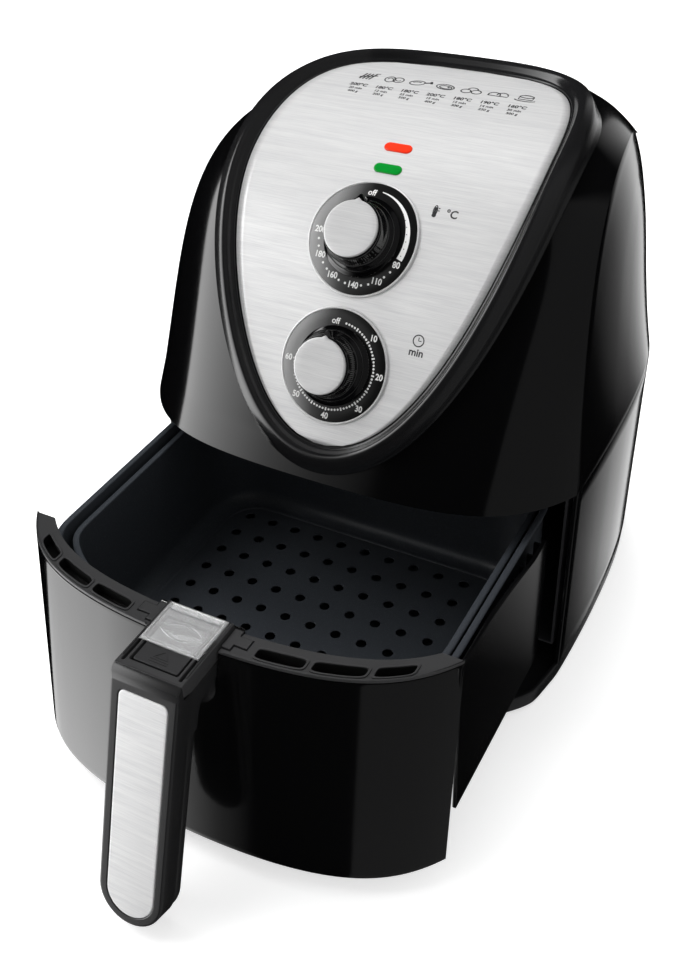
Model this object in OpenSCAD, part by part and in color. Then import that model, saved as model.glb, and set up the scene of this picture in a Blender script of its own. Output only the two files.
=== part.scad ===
// Basket air fryer, about five litres, with a pull-out drawer and a lift-out basket.
// Millimetres. +Z is up and the front faces -Y. The origin is on the surface that the
// fryer stands on, midway between its four feet. The drawer is drawn part open.

/* [Body] */
// Half the width of the housing at its widest
body_half_w = 149.5; // [146:0.5:156]
// Rearmost point of the housing
rear_y = 170; // [166:1:180]
// Front edge of the lower housing's side walls
jamb_y = -72.3; // [-76:0.1:-70]
// Height of the joint between the lower and the upper housing
split_z = 163.5; // [162:0.5:168]
// Highest point of the front cover's arch
arch_top_z = 343.5; // [338:0.5:350]
// How far back the front cover's arch reaches
arch_top_y = 108.3; // [106:0.1:110]
// Front edge of the cover's bottom at the middle
cover_front_y = -129; // [-131:0.5:-127]
// Lean of the cover's face at its bottom edge, in degrees
cover_lean = 29.4; // [28:0.1:31]
// Squareness of the housing's rear corners
corner_power = 4.6; // [4.2:0.1:5.2]
// Wall thickness of the moulded shells
shell_wall = 3; // [2.4:0.1:3.4]
// Height of the base tray's top edge
base_top_z = 15.5; // [14:0.5:16]
// Height of the rubber feet
foot_h = 4; // [3:0.5:5]
// Gap at the joints between mouldings
seam_gap = 0.3; // [0.2:0.05:0.4]

/* [Control panel] */
// Half the width of the steel panel at its widest
panel_half_w = 92.5; // [88:0.5:94]
// Thickness of the steel panel
panel_t = 1; // [0.8:0.1:1.2]
// Width of the raised ring round the panel
ring_w = 17; // [14:0.5:18]
// Height of the ring's crest over the panel
ring_h = 6.5; // [5:0.5:8]
// Radius of the two printed dials
dial_r = 35; // [32:0.5:36]
// Radius of the knobs' skirts
knob_r = 24; // [22:0.5:25]
// Height of the knobs over their dials
knob_h = 18; // [15:0.5:20]
// Radius of the control shafts
control_shaft_r = 3; // [2.5:0.1:3.5]
// Width of the two pilot lights
lens_w = 18; // [15:0.5:20]

/* [Drawer] */
// How far the drawer stands open
drawer_open = 139.5; // [120:0.5:145]
// Half the width of the drawer's front
front_half_w = 140; // [136:0.5:141]
// Front of the drawer's rim at the middle, with the drawer shut
rim_front_y = -131; // [-132:0.5:-130]
// How far the drawer's front falls back from its middle to its ends
front_sag = 50; // [48:0.5:52]
// Height of the drawer's rim
rim_z = 158; // [155:0.5:159]
// Lowest edge of the drawer's front
front_bottom_z = 16.9; // [16.5:0.1:22]
// How much further forward the front's lower edge lies
front_flare = 23; // [18:0.5:26]
// Width of the slotted rim on top of the drawer
rim_w = 17; // [15:0.5:18]
// Length of the drawer's side cheeks, back from the rim's ends
cheek_len = 132; // [120:1:140]
// Height of the pan's and the cheeks' lower edge
pan_bottom_z = 39; // [38:0.5:43]
// Height of the pan's top flange
pan_top_z = 145; // [142:0.5:146]

/* [Basket] */
// Half the width of the basket at its rim
basket_half_w = 125; // [122:0.5:126]
// Rear wall of the basket, with the drawer shut
basket_rear_y = 104; // [98:0.5:105]
// Height of the basket's floor
basket_floor_z = 51; // [49:0.5:57]
// Height of the basket's rim
basket_top_z = 140; // [136:0.5:141]
// Thickness of the sheet that the basket and the pan are made of
sheet_t = 1.2; // [1:0.1:1.4]
// Width of the handle
handle_w = 42; // [40:0.5:44]
// Lean of the grip, in degrees
grip_lean = 19.5; // [16:0.5:21]
// Length of the grip's face
grip_len = 154; // [145:1:155]
// Depth of the grip from front to back
grip_d = 22; // [20:0.5:24]
// Travel of the release button
button_travel = 3; // [2.5:0.1:3.5]

/* [Heater] */
// Inside radius of the heating chamber
chamber_r = 88; // [84:1:89]
// Centre of the chamber, behind the middle of the feet
chamber_y = 20; // [18:1:22]
// Inside height of the heating chamber
chamber_h = 34; // [33:0.5:36]
// Radius of the motor's shaft
motor_shaft_r = 3; // [2.5:0.1:3.5]

/* [Hidden] */
$fn = 64;
eps = 0.01;

// Colours
gloss_black = [0.04, 0.04, 0.045];
satin_black = [0.13, 0.13, 0.14];
steel = [0.78, 0.78, 0.79];
zinc = [0.66, 0.67, 0.68];
coating = [0.16, 0.18, 0.2];

// ---------- curves ----------
// Cubic Bezier, for numbers or for points
function bez(a, b, c, d, u) =
    a * (1 - u) ^ 3 + 3 * b * u * (1 - u) ^ 2 + 3 * c * u ^ 2 * (1 - u) + d * u ^ 3;

// Middle line of the front cover, as [y, z], from its bottom edge to the arch's top
arch_low = 152.7;
arch_high = 154.4;
arch_a = [cover_front_y, split_z];
arch_b = arch_a + arch_low * [sin(cover_lean), cos(cover_lean)];
arch_d = [arch_top_y, arch_top_z];
arch_c = arch_d - [arch_high, 0];
function arch(u) = bez(arch_a, arch_b, arch_c, arch_d, u);
function arch_step(u) = (arch(u + 0.001) - arch(u - 0.001)) / 0.002;
function unit(v) = v / norm(v);
function arch_dir(u) = unit(arch_step(u));
// Outward normal of that line, and its elevation above the horizontal
function arch_out(u) = [-arch_dir(u)[1], arch_dir(u)[0]];
function arch_lean(u) = atan2(arch_dir(u)[0], arch_dir(u)[1]);

// Half width of the cover and how far its edge falls back, along the arch
function cover_w(u) = bez(body_half_w, body_half_w - 17.5, body_half_w - 15, body_half_w - 40, u);
function cover_fall(u) = bez(54, 15, 6.5, 31.5, u);
// The direction of that fall turns from straight back to straight down
function fall_dir(u) = 88 * (1 - (1 - min(u, 1)) ^ 0.4);
// Share of the fall at a share t of the half width
function fall_share(t) = 0.15 * t ^ 2 + 0.5 * t ^ 4 + 0.35 * t ^ 8;
function cover_at(x, u, inset = 0) =
    let (f = cover_fall(u) * fall_share(x / (cover_w(u) - inset)) + inset, a = fall_dir(u), c = arch(u))
    [x, c[0] + f * cos(a), c[1] - f * sin(a)];
function cover_point(t, u, inset = 0) = cover_at(t * (cover_w(u) - inset), u, inset);

// The housing behind an edge point p = [x, y, z, height at the rear], at a share v of the way
rear_bulge = 3.5;
rear_top_z = 244.5;
function round_share(v) = (1 - v ^ corner_power) ^ (1 / corner_power);
function behind(p, v, back, side = 1) = [
    side * (p[0] * round_share(v) + rear_bulge * 4 * v * (1 - v) ^ 2 * min(1, p[0] / 60)),
    p[1] + (back - p[1]) * v,
    p[2] + (p[3] - p[2]) * v ^ 0.9
];
// Shares of the way, with even steps round the square corner
corner_steps = 11;
rear_shares = concat(
    [0, 0.14, 0.28], [for (j = [1:corner_steps]) sin(90 * j / corner_steps) ^ (2 / corner_power)]
);

// Outline of the drawer's front in plan: y at x, for a middle y, a fall and a half width
function front_share(t) = 0.42 * t ^ 2 + 0.3 * t ^ 4 + 0.28 * t ^ 8;
function front_y(x, mid, fall, half_w) = mid + fall * front_share(x / half_w);

// ---------- surfaces ----------
// Closes two grids of rows x cols points, an outer and an inner one, into a solid skin
module skin(outer, inner, rows, cols) {
    n = rows * cols;
    function at(i, j, k) = k * n + i * cols + j;
    pts = [for (g = [outer, inner]) for (r = g) for (p = r) p];
    faces = concat(
        [for (i = [0:rows - 2]) for (j = [0:cols - 2])
            each quad(at(i, j, 0), at(i, j + 1, 0), at(i + 1, j + 1, 0), at(i + 1, j, 0))],
        [for (i = [0:rows - 2]) for (j = [0:cols - 2])
            each quad(at(i, j, 1), at(i + 1, j, 1), at(i + 1, j + 1, 1), at(i, j + 1, 1))],
        [for (j = [0:cols - 2])
            each quad(at(0, j, 0), at(0, j, 1), at(0, j + 1, 1), at(0, j + 1, 0))],
        [for (j = [0:cols - 2])
            each quad(at(rows - 1, j, 0), at(rows - 1, j + 1, 0),
                at(rows - 1, j + 1, 1), at(rows - 1, j, 1))],
        [for (i = [0:rows - 2])
            each quad(at(i, 0, 0), at(i + 1, 0, 0), at(i + 1, 0, 1), at(i, 0, 1))],
        [for (i = [0:rows - 2])
            each quad(at(i, cols - 1, 0), at(i, cols - 1, 1), at(i + 1, cols - 1, 1), at(i + 1, cols - 1, 0))]
    );
    polyhedron(pts, faces);
}
function quad(a, b, c, d) = [[a, c, b], [a, d, c]];
// Evaluates its children as one mesh
module as_mesh() { resize([0, 0, 0]) children(); }

// Closes a loop of cross-sections, each a list of points, into a ring
module ring_skin(sections) {
    n = len(sections);
    m = len(sections[0]);
    function at(i, j) = (i % n) * m + (j % m);
    polyhedron(
        [for (s = sections) for (p = s) p],
        [for (i = [0:n - 1]) for (j = [0:m - 1])
            each quad(at(i, j), at(i, j + 1), at(i + 1, j + 1), at(i + 1, j))]
    );
}

// ---------- control panel's outline ----------
panel_u0 = 0.052;
panel_u1 = 0.958;
panel_um = 0.655;
// Right half of the outline as [x, u], from the bottom at 0 over the side at 1 to the top at 2
function outline(v) = v <= 1
    ? bez([0, panel_u0], [panel_half_w * 0.675, panel_u0], [panel_half_w, panel_um - 0.307],
        [panel_half_w, panel_um], v)
    : bez([panel_half_w, panel_um], [panel_half_w, panel_um + 0.287], [panel_half_w * 0.83, panel_u1],
        [0, panel_u1], v - 1);
function full_outline(a) = a <= 2 ? outline(a) : let (o = outline(4 - a)) [-o[0], o[1]];
// A point of the outline moved outwards by d along the sheet
function outline_off(a, d) =
    let (
        o = full_outline(a),
        p = full_outline(max(a - 0.01, 0)),
        q = full_outline(min(a + 0.01, 4)),
        k = norm(arch_step(o[1])),
        t = unit([q[0] - p[0], (q[1] - p[1]) * k])
    ) [o[0] + t[1] * d, o[1] - t[0] * d / k];
// A point over the bent sheet, h above its face
function on_sheet(x, u, h) = let (c = arch(u), n = arch_out(u)) [x, c[0] + n[0] * h, c[1] + n[1] * h];
// The cover's own face lies under the sheet
sheet_lift = panel_t + 0.3;

// Places children on the sheet, with +Z outwards and +Y up the sheet
module at_panel(u, h = 0) {
    translate([0, arch(u)[0], arch(u)[1]]) rotate([90 - arch_lean(u), 0, 0])
        translate([0, 0, h]) children();
}
temp_u = 0.428;
timer_u = 0.176;
power_u = 0.669;
heat_u = 0.606;

// ---------- shells ----------
cover_rows = 30;
cover_cols = 25;
cover_sink = sheet_lift;
// The moulded cover lies under the sheet, except along its bottom edge
function shell_sink(u) = cover_sink * min(1, u * 20);
function shell_point(t, u, inset) =
    cover_point(t, u, inset) - shell_sink(u) * [0, arch_out(u)[0], arch_out(u)[1]];
function cover_row(u, inset) =
    [for (j = [0:cover_cols - 1]) shell_point(sin(90 * (2 * j / (cover_cols - 1) - 1)), u, inset)];
function cover_grid(inset) = [for (i = [0:cover_rows - 1]) cover_row(i / (cover_rows - 1), inset)];

module control_holes(r, depth) {
    for (u = [temp_u, timer_u]) at_panel(u, -depth) cylinder(h = 2 * depth, r = r);
}
module lens_holes(grow, depth) {
    for (u = [power_u, heat_u]) at_panel(u, -depth) linear_extrude(2 * depth) lens_outline(grow);
}
lens_h = 6.5;
module lens_outline(grow = 0) {
    hull() for (s = [-1, 1]) translate([s * (lens_w - lens_h) / 2, 0])
        circle(r = lens_h / 2 + grow, $fn = 24);
}

hub_hole_r = 8;
module front_cover() {
    color(gloss_black) as_mesh() difference() {
        skin(cover_grid(0), cover_grid(shell_wall), cover_rows, cover_cols);
        control_holes(hub_hole_r, 14);
        lens_holes(1, 14);
    }
}

ring_steps = 72;
ring_gap = 0.5;
// A point under the ring, just clear of the cover
function under_ring(o) = cover_at(o[0], o[1])
    - (shell_sink(o[1]) - ring_gap) * [0, arch_out(o[1])[0], arch_out(o[1])[1]];
// Cross-section of the ring: distance out from the panel's edge and height
function ring_section(a) =
    let (
        d = [0.4, 3, 3.6, 7, 11],
        h = [-0.7, -0.7, 2.4, ring_h - 0.8, ring_h],
        b = outline_off(a, 15),
        foot = on_sheet(b[0], b[1], 3.4) * 0.35 + cover_at(b[0], b[1]) * 0.65
    )
    concat(
        [for (k = [0:4]) let (o = outline_off(a, d[k])) on_sheet(o[0], o[1], h[k])],
        [foot],
        [for (e = [ring_w, 11, 0.4]) under_ring(outline_off(a, e))]
    );
module panel_ring() {
    color(gloss_black) ring_skin([for (i = [0:ring_steps - 1]) ring_section(4 * i / ring_steps)]);
}

panel_rows = 40;
module panel_sheet(h) {
    outer = [for (i = [0:panel_rows]) let (o = outline(0.02 + 1.96 * i / panel_rows))
        [for (s = [-1, 1]) on_sheet(s * o[0], o[1], h)]];
    inner = [for (i = [0:panel_rows]) let (o = outline(0.02 + 1.96 * i / panel_rows))
        [for (s = [-1, 1]) on_sheet(s * o[0], o[1], h - panel_t)]];
    skin(outer, inner, panel_rows + 1, 2);
}
module control_panel() {
    color(steel) as_mesh() difference() {
        panel_sheet(0);
        control_holes(dial_r + 0.3, 14);
        lens_holes(0.4, 14);
    }
}

// ---------- dials, knobs and lights ----------
dial_back = -cover_sink + 0.2;
module dial(u) {
    at_panel(u) rotate_extrude() polygon([
        [hub_hole_r, dial_back], [dial_r, dial_back], [dial_r, 1.1], [dial_r - 2, 1.7],
        [dial_r - 2.6, 1.2], [hub_hole_r, 1.2]
    ]);
}
module temp_dial() { color(gloss_black) dial(temp_u); }
module timer_dial() { color(gloss_black) dial(timer_u); }

knob_gap = 1.6;
module knob_skirt(u) {
    at_panel(u, knob_gap) difference() {
        rotate_extrude() polygon([
            [control_shaft_r + 0.02, 2], [hub_hole_r - 1, 2], [hub_hole_r - 1, 0], [knob_r, 0],
            [knob_r, 1.5], [knob_r - 3, 4], [knob_r - 5.5, 6], [knob_r - 6.5, knob_h - 1],
            [knob_r - 7.2, knob_h - 0.4], [control_shaft_r + 0.02, knob_h - 0.4]
        ]);
        translate([0, 0, knob_h - 4]) cylinder(h = 5, r = control_shaft_r + 0.02);
    }
}
module knob_pointer(u) {
    at_panel(u, knob_gap) translate([-1.8, knob_r - 8, 4]) cube([3.6, 5, knob_h - 5]);
}
module knob(u) {
    knob_skirt(u);
    knob_pointer(u);
}
module temp_knob() { color(gloss_black) knob(temp_u); }
module timer_knob() { color(gloss_black) knob(timer_u); }

cap_r = knob_r - 7.2;
module knob_cap(u) {
    at_panel(u, knob_gap + knob_h - 0.3) cylinder(h = 1.3, r1 = cap_r, r2 = cap_r - 0.6);
}
module temp_knob_cap() { color(steel) knob_cap(temp_u); }
module timer_knob_cap() { color(steel) knob_cap(timer_u); }

control_depth = shell_wall + cover_sink + 1.2;
shaft_in = control_depth + 12;
module control_shaft(u) {
    at_panel(u, -shaft_in) cylinder(h = shaft_in + knob_gap + knob_h - 0.5, r = control_shaft_r);
}
module thermostat_shaft() { color(zinc) control_shaft(temp_u); }
module timer_shaft() { color(zinc) control_shaft(timer_u); }

module pilot_lens(u) {
    at_panel(u, -cover_sink - 3) linear_extrude(cover_sink + 3.9) lens_outline();
}
module power_lens() { color([0.85, 0.2, 0.08]) pilot_lens(power_u); }
module heat_lens() { color([0.05, 0.55, 0.2]) pilot_lens(heat_u); }
module pilot_lamps() {
    color([0.9, 0.75, 0.6]) for (u = [power_u, heat_u])
        at_panel(u, -cover_sink - 3.3 - 9) linear_extrude(9) square([12, 5], center = true);
}

// ---------- housing ----------
side_v = len(rear_shares) - 1;
seam_rows = 24;
top_rows = 9;
// Edge of the upper housing: up the cover's side, then across its top to the middle
function rear_edge(p, share, inset) =
    [p[0], p[1] + seam_gap, p[2], split_z + (rear_top_z - inset / 2 - split_z) * share];
function edge_points(inset) = concat(
    [for (i = [0:seam_rows - 1]) let (u = i / (seam_rows - 1))
        rear_edge(shell_point(1, u, inset), 0.9 * (1 - (1 - u) ^ 2), inset)],
    [for (i = [1:top_rows])
        rear_edge(shell_point(1 - i / top_rows, 1, inset), 0.9 + 0.1 * i / top_rows, inset)]
);
function upper_row(p, back) = concat(
    [for (j = [0:side_v]) behind(p, rear_shares[j], back)],
    [for (j = [side_v - 1:-1:0]) behind(p, rear_shares[j], back, -1)]
);
function upper_grid(inset) = [for (p = edge_points(inset)) upper_row(p, rear_y - inset)];
outlet_w = 96;
outlet_z = [186, 232];
module upper_housing() {
    color(gloss_black) as_mesh() difference() {
        dome_skin(upper_grid(0), upper_grid(shell_wall), seam_rows + top_rows, 2 * side_v + 1);
        translate([-outlet_w / 2, rear_y - 12, outlet_z[0]])
            cube([outlet_w, 20, outlet_z[1] - outlet_z[0]]);
    }
}
// A skin whose last row is folded shut along its middle
module dome_skin(outer, inner, rows, cols) {
    n = rows * cols;
    mid = (cols - 1) / 2;
    function at(i, j, k) = k * n + i * cols + ((i == rows - 1 && j > mid) ? cols - 1 - j : j);
    polyhedron(
        [for (g = [outer, inner]) for (r = g) for (p = r) p],
        concat(
            [for (i = [0:rows - 2]) for (j = [0:cols - 2])
                each quad(at(i, j, 0), at(i, j + 1, 0), at(i + 1, j + 1, 0), at(i + 1, j, 0))],
            [for (i = [0:rows - 2]) for (j = [0:cols - 2])
                each quad(at(i, j, 1), at(i + 1, j, 1), at(i + 1, j + 1, 1), at(i, j + 1, 1))],
            [for (j = [0:cols - 2])
                each quad(at(0, j, 0), at(0, j, 1), at(0, j + 1, 1), at(0, j + 1, 0))],
            [for (i = [0:rows - 2])
                each quad(at(i, 0, 0), at(i + 1, 0, 0), at(i + 1, 0, 1), at(i, 0, 1))],
            [for (i = [0:rows - 2])
                each quad(at(i, cols - 1, 0), at(i, cols - 1, 1),
                    at(i + 1, cols - 1, 1), at(i + 1, cols - 1, 0))]
        )
    );
}

lower_rows = 5;
lower_bottom_z = base_top_z + seam_gap;
lower_top_z = split_z - seam_gap;
function lower_grid(inset) = [for (i = [0:lower_rows - 1])
    let (z = lower_bottom_z + (lower_top_z - lower_bottom_z) * i / (lower_rows - 1))
    upper_row([body_half_w - inset, jamb_y, z, z], rear_y - inset)];
gland_z = 40;
gland_r = 7;
module lower_housing() {
    color(gloss_black) as_mesh() difference() {
        skin(lower_grid(0), lower_grid(shell_wall), lower_rows, 2 * side_v + 1);
        translate([0, rear_y, gland_z]) rotate([90, 0, 0])
            cylinder(h = 20, r = gland_r + 0.3, center = true);
    }
}

// Plan of the base: the drawer front's curve, straight sides and the housing's rear
base_front_y = rim_front_y - front_flare + 2;
function base_plan(inset) = concat(
    [for (i = [-20:20]) let (x = (body_half_w - 6 - inset) * i / 20)
        [x, front_y(x, base_front_y + inset, front_sag, body_half_w - 6 - inset)]],
    [for (j = [0:2:2 * side_v])
        let (p = upper_row([body_half_w - 0.5 - inset, jamb_y, 0, 0], rear_y - 0.5 - inset)[j]) [p[0], p[1]]]
);
tray_floor_z = foot_h + 4;
boss_xy = [[100, -40], [100, 70], [-100, -40], [-100, 70]];
module base_tray() {
    color(gloss_black) difference() {
        translate([0, 0, foot_h]) linear_extrude(base_top_z - foot_h) polygon(base_plan(0));
        translate([0, 0, tray_floor_z]) linear_extrude(base_top_z) polygon(base_plan(shell_wall));
        for (p = boss_xy) translate([p[0], p[1], 0]) {
            cylinder(h = foot_h + 2.2, r = 4);
            cylinder(h = tray_floor_z + 1, r = 1.8);
        }
        for (i = [-5:5]) translate([i * 12 - 2, 16, 0]) cube([4, 60, tray_floor_z + 1]);
    }
}
foot_xy = [[105, -95], [105, 95], [-105, -95], [-105, 95], [0, 0]];
module rubber_feet() {
    color([0.1, 0.1, 0.1]) for (p = foot_xy) translate([p[0], p[1], 0]) cylinder(h = foot_h, r = 9);
}
module air_outlet() {
    gap = 0.4;
    h = outlet_z[1] - outlet_z[0] - 2 * gap;
    w = outlet_w - 2 * gap;
    color(satin_black) translate([-w / 2, rear_y - shell_wall - 1, outlet_z[0] + gap]) difference() {
        cube([w, shell_wall + 0.6, h]);
        for (i = [0:6]) translate([4, -1, 4 + i * (h - 4) / 7]) cube([w - 8, shell_wall + 3, 3.2]);
    }
}
module cord_gland() {
    color(satin_black) translate([0, rear_y, gland_z]) rotate([90, 0, 0]) rotate_extrude()
        polygon([[3.4, -4], [5.4, -4], [gland_r + 2.5, -2], [gland_r + 2.5, -seam_gap], [gland_r, -seam_gap],
            [gland_r, 9], [3.4, 9]]);
}

// ---------- drawer bay ----------
bay_half_w = 142.5;
bay_rear_y = 119;
bay_floor_z = pan_bottom_z - 5;
bay_corner = 48;
liner_t = 1.5;
// A tub's plan: front edge points are given, the rear has round corners
function tub_plan(front, half_w, rear, r) = concat(
    front,
    [for (a = [0:10:90]) [half_w - r + r * cos(a), rear - r + r * sin(a)]],
    [for (a = [90:10:180]) [-half_w + r + r * cos(a), rear - r + r * sin(a)]]
);
function bay_plan(grow, front) = tub_plan(
    [[-bay_half_w - grow, front], [bay_half_w + grow, front]], bay_half_w + grow, bay_rear_y + grow,
    bay_corner + grow);
ceiling_z = split_z + 0.5;
ceiling_t = 1.5;
module bay_liner() {
    color(satin_black) {
        difference() {
            translate([0, 0, bay_floor_z - liner_t])
                linear_extrude(ceiling_z - 0.2 - bay_floor_z + liner_t)
                    polygon(bay_plan(liner_t, jamb_y));
            translate([0, 0, bay_floor_z]) linear_extrude(ceiling_z) polygon(bay_plan(0, jamb_y - 1));
        }
        for (p = boss_xy) translate([p[0], p[1], tray_floor_z + 0.1]) difference() {
            cylinder(h = bay_floor_z - liner_t - tray_floor_z - 0.1 + eps, r = 5);
            translate([0, 0, -1]) cylinder(h = 18, r = 1.55);
        }
    }
}
runner_x = 100;
runner_gap = 0.3;
module bay_runners() {
    color([0.75, 0.75, 0.76]) for (s = [-1, 1])
        translate([s * runner_x - 5, jamb_y + 4, bay_floor_z + 0.05])
            cube([10, 150, pan_bottom_z - runner_gap - bay_floor_z - 0.05]);
}
// Plate over the bay, inside both shells, open under the chamber
ceiling_inset = shell_wall + 1.2;
function ceiling_plan() = concat(
    [for (i = [-16:16]) let (t = i / 16, p = cover_point(t * 0.97, 0, ceiling_inset + 1)) [p[0], p[1] + 1]],
    [for (j = [0:2:2 * side_v])
        let (p = upper_row([body_half_w - ceiling_inset, jamb_y, 0, 0], rear_y - ceiling_inset)[j])
            [p[0], p[1]]]
);
lever_x = 60;
lever_y = bay_rear_y - 6.7;
module bay_ceiling() {
    color(zinc) translate([0, 0, ceiling_z]) linear_extrude(ceiling_t) difference() {
        polygon(ceiling_plan());
        translate([0, chamber_y]) circle(r = chamber_r);
        translate([lever_x - 4.5, lever_y - 3.5]) square([9, 11]);
        for (a = [45:90:360]) translate([0, chamber_y]) rotate(a)
            translate([flange_r - screw_inset, 0]) circle(r = 1.25);
    }
}

// ---------- heating chamber ----------
ceiling_top = ceiling_z + ceiling_t;
chamber_t = 0.8;
flange_r = chamber_r + 12;
screw_inset = 2.7;
chamber_top = ceiling_top + 0.1 + chamber_h;
module screw_holes(r, z, h) {
    for (a = [45:90:360]) translate([0, chamber_y, z]) rotate(a)
        translate([flange_r - screw_inset, 0, 0]) cylinder(h = h, r = r);
}
// A pan turned upside down over the chamber, with a flange, a shaft hole and heater leads' holes
module inverted_pan(r, z, top, t, flange, hole) {
    difference() {
        translate([0, chamber_y, 0]) rotate_extrude() polygon([
            [r, z], [flange, z], [flange, z + t], [r + t, z + t], [r + t, top + t], [hole, top + t],
            [hole, top], [r, top]
        ]);
        screw_holes(1.8, z - 1, t + 2);
        for (s = [-1, 1]) translate([s * lead_x, chamber_y + lead_y, top - 1]) cylinder(h = t + 2, r = 5.5);
    }
}
lead_x = 12;
lead_y = 70;
module heat_chamber() {
    color(zinc) inverted_pan(chamber_r, ceiling_top + 0.1, chamber_top, chamber_t, flange_r, 7);
}
shield_gap = 5;
shield_r = chamber_r + chamber_t + shield_gap;
shield_z = ceiling_top + 0.2 + chamber_t;
shield_top = chamber_top + chamber_t + shield_gap;
module heat_shield() {
    color(steel) inverted_pan(shield_r, shield_z, shield_top, chamber_t, flange_r, 9);
}
element_z = ceiling_top + 10;
element_r = 3.2;
element_rings = [44, 64];
module heating_element() {
    color([0.35, 0.33, 0.32]) {
        for (r = element_rings) translate([0, chamber_y, element_z]) rotate_extrude()
            translate([r, 0]) circle(r = element_r, $fn = 32);
        for (s = [-1, 1]) translate([s * lead_x, chamber_y, element_z]) {
            translate([0, element_rings[0] - 2, 0]) rotate([-90, 0, 0])
                cylinder(h = lead_y - element_rings[0] + 2, r = element_r * 0.8, $fn = 32);
            translate([0, lead_y, 0]) sphere(r = element_r * 0.8, $fn = 32);
            translate([0, lead_y, 0])
                cylinder(h = shield_top + 12 - element_z, r = element_r * 0.8, $fn = 32);
        }
    }
}
module element_clips() {
    clip_z = element_z + element_r + 0.1;
    color(zinc) for (a = [200, 340, 270]) translate([0, chamber_y, 0]) rotate(a) {
        translate([element_rings[0] - 4, -3, clip_z])
            cube([chamber_r - element_rings[0] + 3.6, 6, 1]);
        translate([chamber_r - 1.4, -3, clip_z]) cube([1, 6, 8]);
    }
}
guard_z = ceiling_z - 3;
module element_guard() {
    color(steel) translate([0, chamber_y, guard_z]) {
        for (r = [18, 34, 50, 66, 82]) rotate_extrude() translate([r - 1, -1]) square(2);
        for (a = [0:45:315]) rotate([0, 0, a + 20]) translate([17.5, -1, 0.4]) cube([chamber_r - 13, 2, 2]);
        rotate_extrude() polygon([
            [chamber_r + 2, 0], [chamber_r + 6, 0], [chamber_r + 6, 2.9], [chamber_r + 2, 2.9]
        ]);
    }
}

// ---------- fan and motor ----------
fan_z = element_z + element_r + 5;
fan_r = 68;
module blades(count, r0, r1, z, h, t, sweep) {
    for (i = [0:count - 1]) rotate(i * 360 / count) translate([r0, -t / 2, z]) rotate(sweep)
        cube([r1 - r0, t, h]);
}
module hot_air_fan() {
    color(zinc) translate([0, chamber_y, 0]) difference() {
        union() {
            translate([0, 0, fan_z]) cylinder(h = 1.2, r = fan_r - 8);
            blades(10, 22, fan_r - 1, fan_z + 1.1, 9, 1.2, 8);
            translate([0, 0, fan_z - 1]) cylinder(h = 9, r = 7);
        }
        translate([0, 0, fan_z - 2]) cylinder(h = 14, r = motor_shaft_r + 0.01);
    }
}
cool_z = shield_top + chamber_t + 3;
module cooling_fan() {
    color([0.85, 0.85, 0.83]) translate([0, chamber_y, 0]) difference() {
        union() {
            translate([0, 0, cool_z]) cylinder(h = 1.2, r = 50);
            blades(9, 14, 52, cool_z + 1.1, 8, 1.4, 10);
            translate([0, 0, cool_z]) cylinder(h = 9, r = 9);
        }
        translate([0, 0, cool_z - 1]) cylinder(h = 12, r = motor_shaft_r + 0.01);
    }
}
plate_z = cool_z + 12.5;
plate_t = 1.6;
motor_r = 30;
motor_h = 34;
lug_x = 40;
module motor_bracket() {
    color(zinc) translate([0, chamber_y, 0]) difference() {
        union() {
            translate([-70, -16, plate_z]) cube([140, 32, plate_t]);
            for (s = [-1, 1]) translate([s * 69.2 - 0.8, -16, shield_top + chamber_t + 0.1])
                cube([1.6, 32, plate_z - shield_top - chamber_t]);
        }
        translate([0, 0, plate_z - 1]) cylinder(h = plate_t + 2, r = 8);
        for (s = [-1, 1]) translate([s * lug_x, 0, plate_z - 1]) cylinder(h = plate_t + 2, r = 1.8);
    }
}
motor_z = plate_z + plate_t + 0.1;
module motor() {
    color([0.55, 0.56, 0.58]) translate([0, chamber_y, motor_z]) difference() {
        union() {
            cylinder(h = motor_h, r = motor_r);
            translate([-lug_x - 6, -7, 0]) cube([2 * lug_x + 12, 14, 3]);
            translate([0, 0, motor_h]) cylinder(h = 3, r = 9);
        }
        translate([0, 0, -1]) cylinder(h = motor_h - 4, r = motor_shaft_r + 0.03);
        for (s = [-1, 1]) translate([s * lug_x, 0, -1]) cylinder(h = 5, r = 1.8);
    }
}
module motor_screws() {
    color(zinc) for (s = [-1, 1]) translate([s * lug_x, chamber_y, 0]) {
        translate([0, 0, motor_z + 3.1]) cylinder(h = 2, r = 3.4);
        translate([0, 0, plate_z - 2]) cylinder(h = motor_z + 3.2 - plate_z + 2, r = 1.5);
    }
}
shaft_bottom = fan_z - 7;
module motor_shaft() {
    color(steel) translate([0, chamber_y, shaft_bottom])
        cylinder(h = motor_z + motor_h - 8 - shaft_bottom, r = motor_shaft_r);
}
module fan_nuts() {
    color(zinc) translate([0, chamber_y, 0]) for (z = [fan_z - 5.2, cool_z + 9.1])
        translate([0, 0, z]) difference() {
            cylinder(h = z < cool_z ? 4 : 2.6, r = 6, $fn = 6);
            translate([0, 0, -1]) cylinder(h = 8, r = motor_shaft_r + 0.01);
        }
}
module chamber_screws() {
    head_z = shield_z + chamber_t + 0.1;
    color(zinc) {
        screw_pins(2.4, head_z, 1.6);
        screw_pins(1.2, ceiling_z + 0.2, head_z - ceiling_z);
    }
}
module screw_pins(r, z, h) {
    for (a = [45:90:360]) translate([0, chamber_y, z]) rotate(a)
        translate([flange_r - screw_inset, 0, 0]) cylinder(h = h, r = r, $fn = 24);
}
module thermal_fuse() {
    color([0.8, 0.78, 0.7]) translate([-52, chamber_y + 52, shield_top + chamber_t + 0.1]) {
        translate([-8, -4, 0]) cube([16, 8, 1]);
        translate([-7, 0, 3.4]) rotate([0, 90, 0]) cylinder(h = 14, r = 2.6, $fn = 24);
    }
}

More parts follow.
